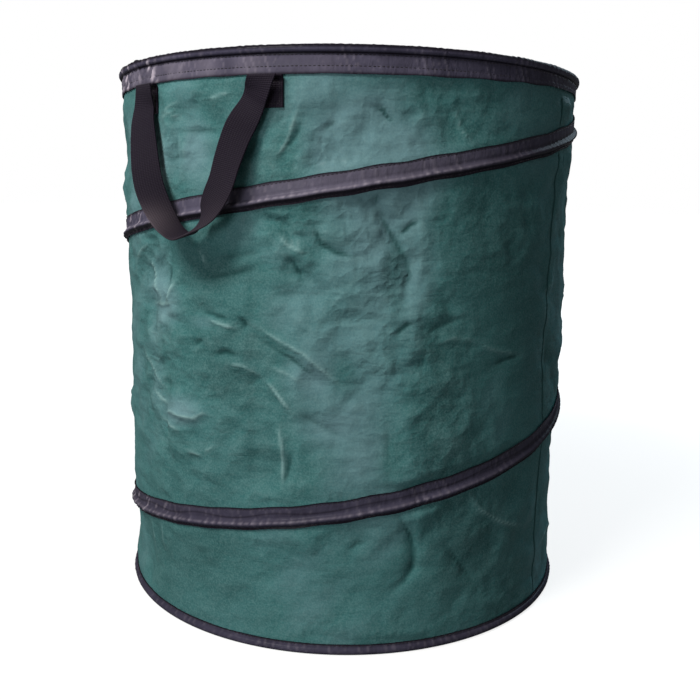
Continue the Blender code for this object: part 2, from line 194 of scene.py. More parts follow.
def shell(name, outer, inner, along, across, finish, ring=False, fields=None, sharp=40):
    """A closed sheet between two equal grids of points: the cells of both, and the strips between their
    edges. along and across are the distances of the grid's lines, with one more along where it is a ring."""
    n, m = outer.shape[:2]
    i, j = np.meshgrid(np.arange(n if ring else n - 1), np.arange(m - 1), indexing="ij")
    i, j = i.ravel(), j.ravel()
    cells_i = np.stack([i, i + 1, i + 1, i], 1)
    cells_j = np.stack([j, j, j + 1, j + 1], 1)
    k = np.arange(n if ring else n - 1)
    near = np.stack([k + 1, k, k, k + 1], 1)
    far = np.stack([k, k + 1, k + 1, k], 1)
    parts = [(cells_i, cells_j, np.zeros_like(cells_i))]
    parts.append((cells_i[:, ::-1], cells_j[:, ::-1], np.ones_like(cells_i)))
    side = np.broadcast_to([0, 0, 1, 1], near.shape)
    parts.append((near, np.zeros_like(near), side))
    parts.append((far, np.full_like(far, m - 1), side))
    if not ring:
        k = np.arange(m - 1)
        first = np.stack([k, k + 1, k + 1, k], 1)
        last = np.stack([k + 1, k, k, k + 1], 1)
        side = np.broadcast_to([0, 0, 1, 1], first.shape)
        parts.append((np.zeros_like(first), first, side))
        parts.append((np.full_like(last, n - 1), last, side))
    at_i, at_j, at_side = (np.concatenate([part[k] for part in parts]) for k in range(3))
    faces = at_side * n * m + at_i % n * m + at_j
    places = np.stack([np.asarray(along)[at_i], np.asarray(across)[at_j]], -1)
    both = {key: np.concatenate([v.ravel(), v.ravel()]) for key, v in (fields or {}).items()}
    points = np.concatenate([outer.reshape(-1, 3), inner.reshape(-1, 3)])
    return put_mesh(name, points, faces, places, finish, both, sharp)


def tube(name, sections, along, around, finish, sharp=40, painted_highlight=None):
    """A closed profile carried along a path, with pointed ends: sections is path by profile."""
    fields = None
    # An optional field of painted highlight along the tube
    if painted_highlight is not None:
        fields = {"painted_highlight": np.concatenate([painted_highlight[:1], painted_highlight, painted_highlight[-1:]])}
    first = sections[:1].mean(1, keepdims=True) + 0 * sections[:1]
    last = sections[-1:].mean(1, keepdims=True) + 0 * sections[-1:]
    points = np.concatenate([first, sections, last])
    along = np.concatenate([[along[0]], along, [along[-1]]])
    n, m = points.shape[:2]
    i, j = np.meshgrid(np.arange(n - 1), np.arange(m), indexing="ij")
    i, j = i.ravel(), j.ravel()
    at_i = np.stack([i, i + 1, i + 1, i], 1)
    at_j = np.stack([j, j, j + 1, j + 1], 1)
    faces = at_i * m + at_j % m
    places = np.stack([along[at_i], around[at_j]], -1)
    made = put_mesh(name, points, faces, places, finish, fields, sharp)
    close_poles(made)
    return made


def close_poles(made):
    """Points that lie on each other become one, which leaves a fan of triangles at each pole."""
    work = bmesh.new()
    work.from_mesh(made.data)
    bmesh.ops.remove_doubles(work, verts=work.verts, dist=1e-7)
    work.to_mesh(made.data)
    work.free()


def unit(vectors):
    """The vectors brought to length 1, and those without a length left as they are."""
    return vectors / np.maximum(np.linalg.norm(vectors, axis=-1, keepdims=True), 1e-12)


def normals(points, ring=False):
    """Unit normals of a grid of points: the cross product of its differences along both ways."""
    if ring:
        padded = np.concatenate([points[-1:], points, points[:1]])
        along = np.gradient(padded, axis=0)[1:-1]
    else:
        along = np.gradient(points, axis=0)
    return unit(np.cross(along, np.gradient(points, axis=1)))


def polar(radius, angle, height):
    """Points from distances to the bag's axis, angles round it and heights."""
    return np.stack(np.broadcast_arrays(radius * np.cos(angle), radius * np.sin(angle), height), -1)


def wrapped(angle):
    """The same angle between minus half a turn and half a turn."""
    return (angle + math.pi) % TURN - math.pi


def smoothstep(x, low, high):
    """From 0 at low to 1 at high, level at both: 3 t squared less 2 t cubed of the share t between."""
    t = np.clip((x - low) / (high - low), 0, 1)
    return t * t * (3 - 2 * t)


def bell(away, wide):
    """1 in the middle and less to both sides: the exponential of minus the square of away over wide."""
    return np.exp(-((away / wide) ** 2))


def toward(angle, degrees, wide):
    """A soft patch round one direction: a bell of the angle to it, with its width in radians."""
    return bell(wrapped(angle - math.radians(degrees)), wide)


def add_patches(total, angle, height, patches, scale=1):
    """The total and soft patches of the wall: each is a share times a bell of the distances across and up."""
    for degrees, mm, wide, tall, share in patches:
        across = wrapped(angle - math.radians(degrees)) * WALL_RADIUS / (wide * MM)
        up = (height - mm * MM) / (tall * MM)
        total = total + share * scale * np.exp(-(across**2) - up**2)
    return total


def run_along(path):
    """Distances along a path of points, from its first."""
    steps = np.linalg.norm(np.diff(path, axis=0), axis=1)
    return np.concatenate([[0], np.cumsum(steps)])


def at_distances(path, run, at):
    """Points on a path at some distances along it, given the distances of its own points."""
    return np.column_stack([np.interp(at, run, path[:, k]) for k in range(3)])


def ripple(angle, length, seed, spread=0.35):
    """Waves round the bag about this long in metres: a sum of cosines of whole numbers of waves."""
    rng = np.random.default_rng(seed)
    middle = TURN * WALL_RADIUS / length
    total = np.zeros(np.shape(angle))
    for _ in range(WAVES):
        waves = round(middle * rng.uniform(1 - spread, 1 + spread))
        total = total + np.cos(waves * np.asarray(angle) + rng.uniform(0, TURN))
    return total / WAVES_SUM


def facets(angle, height, size, tall, seed):
    """Flat triangles between scattered corners of random level, closed round the bag: a leaning lattice of
    corners is shaken, and each of its cells is cut in two. Returns the level and the nearness to an edge."""
    rng = np.random.default_rng(seed)
    columns = round(TURN * WALL_RADIUS / size)
    rows = int(BAG_HEIGHT / tall) + 5
    shake = rng.uniform(-FACET_SHAKE, FACET_SHAKE, (columns, rows, 2))
    level = rng.normal(size=(columns, rows))
    level = np.sign(level) * np.abs(level) ** FACET_CONTRAST
    v = height / tall + 2
    u = angle / TURN * columns - FACET_LEAN * v
    u0 = np.floor(u).astype(int)
    v0 = np.floor(v).astype(int)
    value = np.zeros_like(u)
    edge = np.ones_like(u)
    for step_u in (-1, 0, 1):
        for step_v in (-1, 0, 1):
            corners = []
            for du, dv in ((0, 0), (1, 0), (1, 1), (0, 1)):
                i = u0 + step_u + du
                j = v0 + step_v + dv
                jj = np.clip(j, 0, rows - 1)
                ii = i % columns
                corners.append((i + shake[ii, jj, 0], j + shake[ii, jj, 1], level[ii, jj]))
            for a, b, c in ((0, 1, 3), (1, 2, 3)):
                (ax, ay, al), (bx, by, bl), (cx, cy, cl) = corners[a], corners[b], corners[c]
                area = (bx - ax) * (cy - ay) - (cx - ax) * (by - ay)
                wb = ((u - ax) * (cy - ay) - (cx - ax) * (v - ay)) / area
                wc = ((bx - ax) * (v - ay) - (u - ax) * (by - ay)) / area
                wa = 1 - wb - wc
                least = np.minimum(np.minimum(wa, wb), wc)
                inside = least >= -1e-9
                value = np.where(inside, wa * al + wb * bl + wc * cl, value)
                edge = np.where(inside, least, edge)
    return value, edge


def distance_to_line(angle, height, line):
    """Distance in metres on the wall to a line through (degrees, mm) points, which side of it a place is on,
    from +1 on the left to -1 on the right, and how far along it the nearest point is, 0 to 1."""
    best = np.full(np.shape(angle), 9.0)
    side = np.ones(np.shape(angle))
    run = np.zeros(np.shape(angle))
    marks = [(math.radians(degrees), mm * MM) for degrees, mm in line]
    pieces = list(zip(marks[:-1], marks[1:]))
    lengths = [math.hypot((a1 - a0) * WALL_RADIUS, z1 - z0) for (a0, z0), (a1, z1) in pieces]
    total = sum(lengths)
    before = 0.0
    for ((a0, z0), (a1, z1)), length in zip(pieces, lengths):
        across = wrapped(angle - a0) * WALL_RADIUS
        up = height - z0
        ex = (a1 - a0) * WALL_RADIUS / length
        ez = (z1 - z0) / length
        t = np.clip(across * ex + up * ez, 0, length)
        here = np.hypot(across - t * ex, up - t * ez)
        nearer = here < best
        best = np.where(nearer, here, best)
        side = np.where(nearer, np.clip((ex * up - ez * across) / np.maximum(here, 1e-6), -1, 1), side)
        run = np.where(nearer, (before + t) / total, run)
        before += length
    return best, side, run


# Wall cloth

def spiral_height(angle):
    """The middle of the spiral tape at an angle counted from its start: a climb and one sway a turn."""
    share = (angle - SPIRAL_FIRST) / (SPIRAL_LAST - SPIRAL_FIRST)
    low = SPIRAL_SWAY * math.cos(SPIRAL_FIRST - SPIRAL_SWAY_ANGLE)
    high = SPIRAL_SWAY * math.cos(SPIRAL_LAST - SPIRAL_SWAY_ANGLE)
    here = SPIRAL_SWAY * np.cos(angle - SPIRAL_SWAY_ANGLE)
    climb = SPIRAL_BOTTOM + (SPIRAL_TOP - SPIRAL_BOTTOM) * share
    return climb + here - low - (high - low) * share


def clear_of_tape(angle, height):
    """Distance in metres from a place on the wall to the nearest edge of a tape, 0 or less under one."""
    best = np.minimum(RIM_BINDING_BOTTOM - height, height - BASE_BINDING_TOP)
    for turns in (0, 1, 2):
        counted = angle % TURN + turns * TURN
        beyond = np.maximum(SPIRAL_FIRST - counted, counted - SPIRAL_LAST) * WALL_RADIUS
        away = np.abs(height - spiral_height(counted)) * SPIRAL_SLANT - SPIRAL_HALF
        away = np.where(beyond > 0, np.hypot(np.maximum(away, 0), beyond), away)
        best = np.minimum(best, away)
    up = SEWN_BOTTOM - height
    for sign in (-1, 1):
        for facing in (-math.pi / 2, math.pi / 2):
            across = np.abs(wrapped(angle - (facing + sign * END_ANGLE))) * WALL_RADIUS - WEBBING_HALF
            outside = np.hypot(np.maximum(across, 0), np.maximum(up, 0))
            best = np.minimum(best, np.where((across < 0) & (up < 0), -1 * MM, outside))
    return best


# Folds in the wall cloth: points (degrees, mm), how far each stands out, and how wide its two sides are in mm
FOLDS = (
    (((308.6, 394), (310.3, 380), (312.4, 366), (314.2, 355), (315.7, 346), (316.2, 335), (315.4, 324),
      (315.3, 314)), -4.8, 5.5, 11),
    (((317.7, 397), (318.6, 365), (318.3, 342), (317.6, 324)), 1.2, 18, 8),
    (((313.9, 368), (315.9, 376), (317.8, 380)), -1.9, 6, 5),
    (((313.1, 285), (313.9, 290), (315.6, 295), (316.9, 296)), -2.4, 3.5, 6),
    (((319.2, 284), (321.9, 290), (324.7, 294), (328.1, 298)), -2.4, 8, 9),
    (((332.5, 279), (335.2, 271), (339.2, 266), (347.4, 260)), 1.1, 3.5, 8),
    (((338.1, 254), (341.9, 258), (347.5, 260)), -1.6, 7, 4),
    (((321.1, 277), (326.5, 282), (333.1, 277)), 1.1, 6, 14),
    (((317.6, 319), (316.6, 282), (316.2, 248), (316.3, 204), (316.1, 165)), 3.8, 60, 30),
    (((314.6, 129), (316.2, 118), (317.7, 108), (318.7, 93), (318.6, 77), (316.6, 66), (314.6, 59)),
     -3.2, 4, 8),
    (((331.3, 143), (334.9, 124), (342, 105), (353.1, 89)), 1.5, 4, 5),
    (((326.8, 91), (330.1, 76), (334.4, 54)), -1.7, 4, 6),
    (((246.1, 82), (246.8, 45)), 1.2, 5, 5),
    (((252.8, 92), (253.3, 61)), 1, 5, 5),
    (((304, 96), (305.9, 103), (308.1, 104)), -1.3, 4, 4),
    (((247.8, 341), (251.4, 321), (255, 302)), 2.5, 4, 4.5),
    (((261.2, 323), (258.4, 311), (256.3, 301)), 2.5, 4, 4),
    (((250, 300), (255.9, 301), (260.7, 304)), 1.8, 4, 4),
    (((257.1, 339), (257.3, 314)), -2, 6, 6),
    (((241, 335), (245.3, 347), (249.3, 354)), 1.5, 4, 4),
    (((253.9, 285), (254.5, 262)), 1.4, 5, 5),
    (((249, 273), (255.9, 271)), 1.1, 4, 4),
    (((244, 254), (249.1, 243), (253.1, 230), (257.1, 222)), 1.7, 6, 5),
    (((250.4, 221), (253.8, 213), (258.6, 209)), 2, 5, 4),
    (((256, 200), (260.1, 205), (264.4, 203), (267.3, 203), (269.8, 209), (272.6, 208)), 2.4, 7, 4),
    (((253.6, 195), (259.6, 192), (263.6, 188)), 1.8, 6, 5),
    (((252.4, 176), (258.6, 170)), 1, 6, 6),
    (((264.2, 171), (269.3, 169)), 1.6, 4, 4),
    (((269.9, 174), (272.8, 181)), 1.3, 3.5, 3.5),
    (((271.1, 293), (275.1, 290), (278.9, 287)), 2.3, 9, 4),
    (((268.5, 299), (272.5, 298), (277.7, 293)), -1.7, 4, 9),
    (((279.2, 296), (280.6, 292), (279.9, 286)), -2.2, 4, 4),
    (((280.6, 293), (284.4, 288), (288.8, 279), (294.2, 269), (298.4, 255), (302.7, 240)), 2.6, 11, 6),
    (((281.6, 283), (286.2, 275), (293.2, 259), (297.8, 245)), -2.1, 6, 10),
    (((286.2, 256), (289.9, 252), (294.2, 244)), 1.7, 6, 10),
    (((291.9, 219), (297.1, 208), (300.7, 201), (304.3, 195)), -2.8, 9, 11),
    (((285, 245), (287, 239), (289, 229), (291.3, 218)), 2.6, 9, 4),
    (((280.8, 237), (283.1, 244), (285, 246)), -1.1, 4, 4),
    (((276.1, 256), (280.3, 256), (284.3, 248)), 1.6, 5, 5),
    (((265.8, 268), (269.6, 274)), -1.7, 4, 4),
    (((272.3, 261), (275.8, 266), (279.1, 263)), -2.2, 4, 4),
    (((268.1, 327), (273.5, 330), (278.6, 334), (284, 339)), -2.7, 9, 6),
    (((269.4, 354), (271, 339)), 1.6, 8, 5),
    (((272.2, 346), (279.8, 349), (286.2, 354)), -2.4, 13, 8),
    (((288.2, 368), (290.1, 359), (294.5, 352)), 2.3, 5, 8),
    (((290.5, 350), (292, 340), (293.5, 330)), -2.4, 4, 5),
    (((295.3, 378), (297.2, 360), (300.4, 354), (304.9, 349)), -1.9, 4, 5),
    (((287.1, 317), (295.2, 320), (303.8, 318)), -1.4, 9, 9),
    (((288.2, 207), (288.8, 194), (289.3, 176), (289.3, 151)), 2.3, 5, 8),
    (((291.3, 181), (290.4, 168), (289.5, 153)), -1.7, 4, 4),
    (((311.9, 205), (311.9, 174)), -1.6, 9, 9),
    (((263.3, 451), (270, 451), (275.7, 450)), -2.1, 7, 9),
    (((271.5, 475), (274.9, 478), (278.3, 480)), 1.5, 5, 14),
    (((257, 464), (261.5, 466), (264.4, 461)), 1.5, 4, 9),
    (((258.9, 466), (261.2, 472), (263.5, 474)), 1.4, 3.5, 3.5),
    (((256, 450), (256.5, 428), (257.8, 402)), 1.7, 6, 4),
    (((262.7, 449), (262.4, 422)), -1.5, 5, 5),
    (((265.2, 444), (264.3, 411)), 1.1, 6, 6),
    (((292.3, 464), (291.1, 451), (289.5, 437), (287.6, 427)), 1.9, 5, 5),
    (((293.3, 457), (291.7, 444), (289, 433)), -1.5, 4, 4),
    (((285.8, 428), (287.1, 422), (288, 417)), 1.1, 3.5, 3.5),
    (((300.3, 458), (297.4, 450)), -1.3, 4, 4),
    (((307.4, 469), (309.4, 467), (310.6, 461), (312.4, 456)), -1.8, 4, 6),
    (((318.2, 466), (317, 459)), 0.9, 4, 4),
    (((324.7, 471), (326.6, 453), (329.6, 443)), 1.4, 5, 5),
    (((308.3, 402), (308.8, 391)), -1.2, 3.5, 3.5),
    (((356.6, 307), (362.7, 326)), 1.2, 5, 5),
)

# Soft hollows: degrees, mm, half width and half height in mm, depth in mm
HOLLOWS = (
    (234, 438, 60, 34, 3.4),
    (236, 52, 60, 30, 4.6),
    (268, 440, 30, 30, 1.6),
    (332, 262, 46, 26, 2.2),
    (284, 62, 70, 30, 1.8),
    (350, 60, 50, 30, 2.4),
    (2, 230, 40, 90, 2.0),
    (340, 420, 60, 26, 1.2),
    (60, 330, 70, 60, 3.0),
    (120, 420, 60, 40, 2.6),
    (168, 210, 60, 70, 2.6),
    (100, 120, 80, 50, 2.6),
    (205, 60, 60, 30, 3.0),
    (30, 120, 50, 40, 2.4),
)


def back_folds():
    """Folds of the same kinds on the side that faces away, scattered at random."""
    rng = np.random.default_rng(11)
    found = []
    for _ in range(64):
        angle = rng.uniform(14, 226)
        height = rng.uniform(30, 480)
        heading = rng.uniform(0, TURN)
        line = [(angle, height)]
        for _ in range(rng.integers(1, 4)):
            step = rng.uniform(12, 30)
            heading += rng.uniform(-0.7, 0.7)
            angle += math.degrees(step * MM * math.cos(heading) / WALL_RADIUS)
            height += step * math.sin(heading)
            line.append((angle, height))
        out = rng.choice([-1, 1]) * rng.uniform(1.2, 3.4)
        found.append((tuple(line), out, rng.uniform(3.5, 10), rng.uniform(3.5, 10)))
    return tuple(found)


# Where the cloth is crumpled more or less than elsewhere: degrees, mm, half width and height in mm, share
CRUMPLED = (
    (254, 290, 50, 120, 0.60),
    (284, 235, 70, 80, 0.20),
    (258, 430, 34, 45, 0.75),
    (294, 430, 50, 40, 0.35),
    (313, 350, 50, 90, 0.40),
    (345, 250, 60, 200, -0.25),
    (290, 60, 160, 45, -0.20),
    (340, 440, 70, 50, -0.15),
    (60, 260, 90, 110, 0.35),
    (130, 330, 80, 80, 0.45),
    (185, 180, 90, 90, 0.50),
    (215, 400, 60, 60, 0.40),
)


def crumpled(angle, height):
    """How much the cloth is crumpled: a middling share with soft patches of more and less, 0.15 to 1.2."""
    share = 0.48 + 0.10 * ripple(angle + height * 3, 0.22, 5)
    return np.clip(add_patches(share, angle, height, CRUMPLED), 0.15, 1.2)


# Soft patches of painted light and shade, partly also the cloth's own tone: the cloth is paler, as painted
# light or sheen, or deeper, as painted shade, where the last number is below 0: degrees, mm, half width and
# half height in mm, and tone
LIGHT_AND_SHADE_PATCHES = (
    (308, 300, 52, 150, 0.92),
    (299, 440, 60, 40, 0.70),
    (306, 80, 70, 60, 0.15),
    (270, 320, 42, 100, -0.55),
    (264, 70, 66, 60, -0.85),
    (345, 440, 40, 34, 0.30),
    (238, 280, 34, 130, 0.30),
    (274, 245, 40, 22, -0.45),
    (326, 250, 30, 100, -0.85),
    (331, 370, 40, 50, -0.35),
    (325, 70, 40, 60, -0.75),
    (345, 110, 70, 80, -0.55),
    (345, 330, 60, 120, -0.25),
    (290, 420, 24, 40, -0.30),
    (258, 420, 9, 26, 1.00),
    (268, 430, 16, 18, 0.75),
    (273, 470, 11, 11, -0.80),
    (261, 470, 12, 14, -0.60),
    (264.5, 440, 4, 14, -0.60),
    (281, 424, 9, 20, -0.50),
    (252, 455, 10, 22, 0.50),
    (264, 430, 30, 34, 0.55),
    (241, 400, 20, 60, 0.40),
    (318, 430, 60, 34, 0.60),
    (100, 300, 120, 80, 0.35),
    (190, 260, 60, 150, 0.30),
    (255, 307, 26, 24, 1.20),
    (270, 290, 24, 10, 1.00),
    (262, 206, 30, 13, 1.30),
    (252, 236, 14, 40, 0.60),
    (295, 249, 27, 12, 0.35),
    (296, 206, 25, 12, 0.38),
    (277, 334, 41, 10, -0.85),
    (283, 274, 22, 14, -0.85),
    (277, 236, 22, 15, -0.80),
    (277, 169, 40, 33, -0.75),
    (302, 252, 13, 17, -0.80),
    (313, 181, 12, 24, -0.60),
    (313, 342, 10, 51, -0.55),
    (323, 225, 13, 80, -0.55),
    (300, 370, 60, 60, 0.25),
    (40, 200, 60, 130, -0.30),
    (150, 120, 90, 60, -0.25),
)


def wall_tone(angle, height):
    """Tone of the cloth, -1 deep to 1 pale: the sum of the soft patches of painted light and shade and of
    slow waves of the cloth's own tone.
    """
    tone = 0.16 * ripple(angle + height * 2.5, 0.16, 61) + 0.12 * ripple(angle - height * 5, 0.07, 62)
    return add_patches(tone, angle, height, LIGHT_AND_SHADE_PATCHES)


# How much deeper folds stand than they were read, and the width in mm of their marks, the painted pale ridge
# lines and the painted shade along valleys: least, and more per mm
FOLD_DEPTH = 1.5
RIDGE_MARK = (1.7, 0.14)
VALLEY_MARK = (2.1, 0.22)

# A fold is fully sharp where its narrower side is no wider than this and it stands out this far, in mm
SHARP_WIDTH = 4.6
SHARP_HEIGHT = 1.9

# Facets in the wall: size and height in mm, how far they stand out in mm, and seed
WALL_FACETS = ((84, 60, 2.0, 1), (38, 27, 2.0, 2), (20, 13, 1.25, 3), (10, 7, 0.5, 4))

# The folded cloth beside the seam: across which places it rises and falls, and how far it stands out
FELL_START = (-1.6 * MM, -0.8 * MM)
FELL_END = (10.5 * MM, 11.5 * MM)
FELL_HEIGHT = 0.55 * MM


def strap_room(angle, height):
    """Room for a strap in front of the cloth, as two shares: clear of it, and clear of its two legs."""
    side = (angle + math.pi / 2) % math.pi
    from_handle = np.abs(side - math.pi * (side > math.pi / 2))
    clear = smoothstep(from_handle, math.radians(26), math.radians(38))
    legs = smoothstep(np.abs(from_handle - END_ANGLE) * WALL_RADIUS, 14 * MM, 26 * MM)
    clear = np.maximum(clear, smoothstep(height, 0.35, 0.33))
    return clear, np.maximum(legs, smoothstep(height, 175 * MM, 150 * MM))


def wall_shape(angle, height):
    """How far the cloth stands out from its cylinder in metres, how pale its ridges are painted, as crease
    whitening and painted highlight, and how dark its valleys are painted as painted shade, both 0 to 1:
    hollows, folds that fall off to each side, facets, and puckers at the tapes."""
    ridge_whitening_and_glint = np.zeros(np.shape(angle))
    valley_shade = np.zeros(np.shape(angle))
    away = clear_of_tape(angle, height)
    out = add_patches(np.zeros(np.shape(angle)), angle, height, HOLLOWS, -MM)
    out = out - 1.3 * MM * smoothstep(away, 0, 45 * MM)
    for line, stands, left, right in FOLDS + back_folds():
        far, side, run = distance_to_line(angle, height, line)
        width = (right + (left - right) * (0.5 + 0.5 * side)) * MM
        ends = 0.4 + 0.6 * smoothstep(np.minimum(run, 1 - run), 0, 0.3)
        out = out + FOLD_DEPTH * stands * MM * ends * np.exp(-far / width)
        # Each fold marks its ridge with a painted pale line, crease whitening and painted highlight, or its
        # valley with painted shade
        least, more = RIDGE_MARK if stands > 0 else VALLEY_MARK
        sharp = min(1, SHARP_WIDTH / min(left, right)) * min(abs(stands), SHARP_HEIGHT) / SHARP_HEIGHT
        mark = sharp * ends * bell(far, (least + more * abs(stands)) * MM)
        if stands > 0:
            ridge_whitening_and_glint = np.maximum(ridge_whitening_and_glint, mark)
        else:
            valley_shade = np.maximum(valley_shade, mark)
    patchy = crumpled(angle, height)
    for size, tall, stands, seed in WALL_FACETS:
        level, edge = facets(angle, height, size * MM, tall * MM, seed)
        out = out + level * stands * MM * patchy
        near_edge = np.exp(-edge * size / 2.2) * patchy
        # Facet edges are marked too: painted pale lines where a facet stands out, and painted shade where it
        # sinks
        ridge_whitening_and_glint = np.maximum(ridge_whitening_and_glint, 0.40 * near_edge * np.clip(level, 0, 1))
        valley_shade = np.maximum(valley_shade, 0.55 * near_edge * np.clip(-level, 0, 1))
    near = np.exp(-np.clip(away, 0, 1) / (13 * MM))
    pucker = ripple(angle + height * 1.2, 11 * MM, 7) + 0.6 * ripple(angle - height * 2, 6 * MM, 8)
    held = smoothstep(away, -1 * MM, 10 * MM)
    out = (out + 0.34 * MM * pucker * near) * held
    shown = smoothstep(away, 0, 3 * MM)
    seam = wrapped(angle) * WALL_RADIUS
    out = out + FELL_HEIGHT * (smoothstep(seam, *FELL_START) - smoothstep(seam, *FELL_END)) * shown
    # Painted shadow beside the seam: dark lines at the step of the lapped seam and at the edge of its fold
    valley_shade = np.maximum(valley_shade, 0.95 * bell(seam + 1.3 * MM, 1.3 * MM))
    valley_shade = np.maximum(valley_shade, 0.55 * bell(seam - 11.4 * MM, 1.0 * MM))
    clear, legs = strap_room(angle, height)
    out = out - 2.2 * MM * (1 - legs) * held
    most = (0.2 + (3.0 + 4.0 * clear) * legs) * MM
    return np.clip(out, -10 * MM, most), np.clip(ridge_whitening_and_glint * shown, 0, 1), np.clip(valley_shade * shown, 0, 1)


def uneven(first, last, count, middle, wide, more):
    """Places from first to last, closer near the middle: equal shares of the area under 1 plus a bell."""
    fine = np.linspace(first, last, 4001)
    weight = 1 + more * bell(fine - middle, wide)
    share = np.concatenate([[0], np.cumsum((weight[1:] + weight[:-1]) / 2)])
    return np.interp(np.linspace(0, share[-1], count), share, fine)


# The halves of the wall: name, first angle, middle in degrees of its closer columns, and how much closer
WALL_HALVES = (("wall_cloth_front", math.pi, 289, 1.2), ("wall_cloth_back", 0.0, 90, 0.0))
WALL_COLUMNS = 209
CLOSER_WIDTH = math.radians(47)

# Rows of the wall, the middle and width in metres of the closer ones, and how much closer they are
WALL_ROWS = 224
CLOSER_ROWS = (0.28, 0.17, 0.5)

# More columns along the seam, in mm from it
SEAM_COLUMNS = (-3.6, -2.4, -1.6, -1.0, -0.5, 0.8, 2.2, 9.4, 10.3, 11.0, 11.7, 12.8)


def make_wall(cloth):
    """The tube of cloth in two grids that meet at the side seam and opposite it, finer where creased."""
    made = []
    heights = uneven(WALL_BOTTOM, WALL_TOP, WALL_ROWS, *CLOSER_ROWS)
    by_seam = np.array(SEAM_COLUMNS) * MM / WALL_RADIUS
    for name, first, middle, more in WALL_HALVES:
        angles = uneven(first, first + math.pi, WALL_COLUMNS, math.radians(middle), CLOSER_WIDTH, more)
        extra = by_seam[by_seam < 0] + TURN if first else by_seam[by_seam > 0]
        angles = np.unique(np.concatenate([angles, extra]))
        angle, height = np.meshgrid(angles, heights, indexing="ij")
        out, ridge_whitening_and_glint, valley_shade = wall_shape(angle, height)
        outer = polar(WALL_FACE + out, angle, height)
        inward = normals(outer)
        inward *= -np.sign((inward * polar(1.0, angle, 0 * height)).sum(-1, keepdims=True))
        inner = outer + CLOTH * inward
        # Fields for the cloth's colour: painted pale ridge lines, painted shade in valleys, and tone with
        # painted light and shade
        fields = {"ridge_whitening_and_glint": ridge_whitening_and_glint, "valley_shade": valley_shade}
        fields.update(tone=wall_tone(angle, height), crumple=crumpled(angle, height))
        made.append(shell(name, outer, inner, angles * WALL_RADIUS, heights, cloth, fields=fields, sharp=60))
    return made


# Bindings

def bound(name, angles, radius, height, outward, upward, across, tape, fields):
    """A ring of tape of a given outer profile: radius and height grids, with its inner face a tape's
    thickness in, along the profile's own outward direction."""
    around = angles[:, None]
    outer = polar(radius, around, height)
    inner = outer - TAPE * polar(outward, around, upward)
    along = np.append(angles, 2 * angles[-1] - angles[-2]) * WALL_RADIUS
    fields = {key: value + 0 * radius for key, value in fields.items()}
    return shell(name, outer, inner, along, across, tape, ring=True, fields=fields)


def profile_turn(radius, height):
    """The outward normal of a profile in its own plane, from its differences."""
    dr = np.gradient(radius, axis=-1)
    dz = np.gradient(height, axis=-1)
    size = np.hypot(dr, dz)
    return dz / size, -dr / size


def make_rim_binding(tape):
    """Up the outside, round the hoop and down the inside, gathered by its two rows of stitches."""
    bead = np.radians(np.linspace(-78, 258, 24))
    radius = np.concatenate([
        np.full(17, FLANGE),
        HOOP_RADIUS + BEAD_RADIUS * np.cos(bead),
        np.full(9, WALL_RADIUS - CLOTH - GAP - TAPE),
    ])
    height = np.concatenate([
        np.linspace(492.5, 507.6, 17) * MM,
        RIM_HOOP_HEIGHT + BEAD_RADIUS * np.sin(bead),
        np.linspace(507.6, 492.5, 9) * MM,
    ])
    angles = np.linspace(0, TURN, RIM_COLUMNS, endpoint=False)
    a = angles[:, None]
    turn_r, turn_z = profile_turn(radius, height)
    # left marks the side towards the lamps, where the gathers stand most and painted highlights are put;
    # right marks the side away from them, painted darker
    left = toward(a, 244, 0.27)
    right = toward(a, 8, 0.55)
    flange = smoothstep(height, 509 * MM, 505 * MM)
    gather = ripple(a + height * 1.6, 7.5 * MM, 21) + 0.5 * ripple(a - height * 2.4, 4.4 * MM, 22)
    slow = ripple(a, 46 * MM, 23)
    rows = sum(bell(height - row, 0.9 * MM) for row in RIM_ROWS)
    lift = (0.6 + 1.7 * left) * (0.20 * flange + 0.22 * (1 - flange)) * gather * MM
    lift = lift + 0.10 * MM * slow - 0.28 * MM * rows
    edge = np.exp(-(height - RIM_BINDING_BOTTOM) / (1.6 * MM))
    lift = np.maximum(lift + 0.25 * MM * edge, -0.35 * MM)
    pinch = ripple(a - height * 3.0, 15 * MM, 24, 0.6) + 0.5 * ripple(a + height * 0.8, 31 * MM, 25, 0.6)
    lift = lift + 0.7 * MM * left * flange * np.clip(pinch, -0.3, 1.2)
    patchy = smoothstep(ripple(a + height * 3, 31 * MM, 26, 0.7), -0.2, 0.9)
    # Painted glints on the gathers, most on the left, and a painted sheen on the flange round 262 degrees
    painted_highlight = 1.7 * left * patchy * smoothstep(pinch, -0.1, 0.9) + 0.15 * smoothstep(gather, 0.7, 1.6)
    painted_highlight = painted_highlight + 0.20 * toward(a, 262, 0.75) * flange * (0.75 + 0.4 * np.clip(slow, -1, 1))
    radius = radius + lift * turn_r
    height = height + lift * turn_z + 0.35 * MM * slow * edge
    # Dark lines at the lower edge and along the bead's top, painted shade in the groove under the bead, and
    # painted shade on the side away from the lamps
    dark = bell(height - RIM_BINDING_BOTTOM, 1.6 * MM) + smoothstep(height, 511.2 * MM, 512.8 * MM)
    dark = np.maximum(dark + bell(height - 508.3 * MM, 0.9 * MM), 0.35 * right)
    across = run_along(np.column_stack([radius[0], height[0]]))
    height = height + 0.32 * right * np.clip(RIM_HOOP_HEIGHT - BEAD_RADIUS - height, 0, 1)
    fields = {"edge": dark, "painted_highlight": painted_highlight}
    return bound("rim_binding_tape", angles, radius, height, turn_r, turn_z, across, tape, fields)


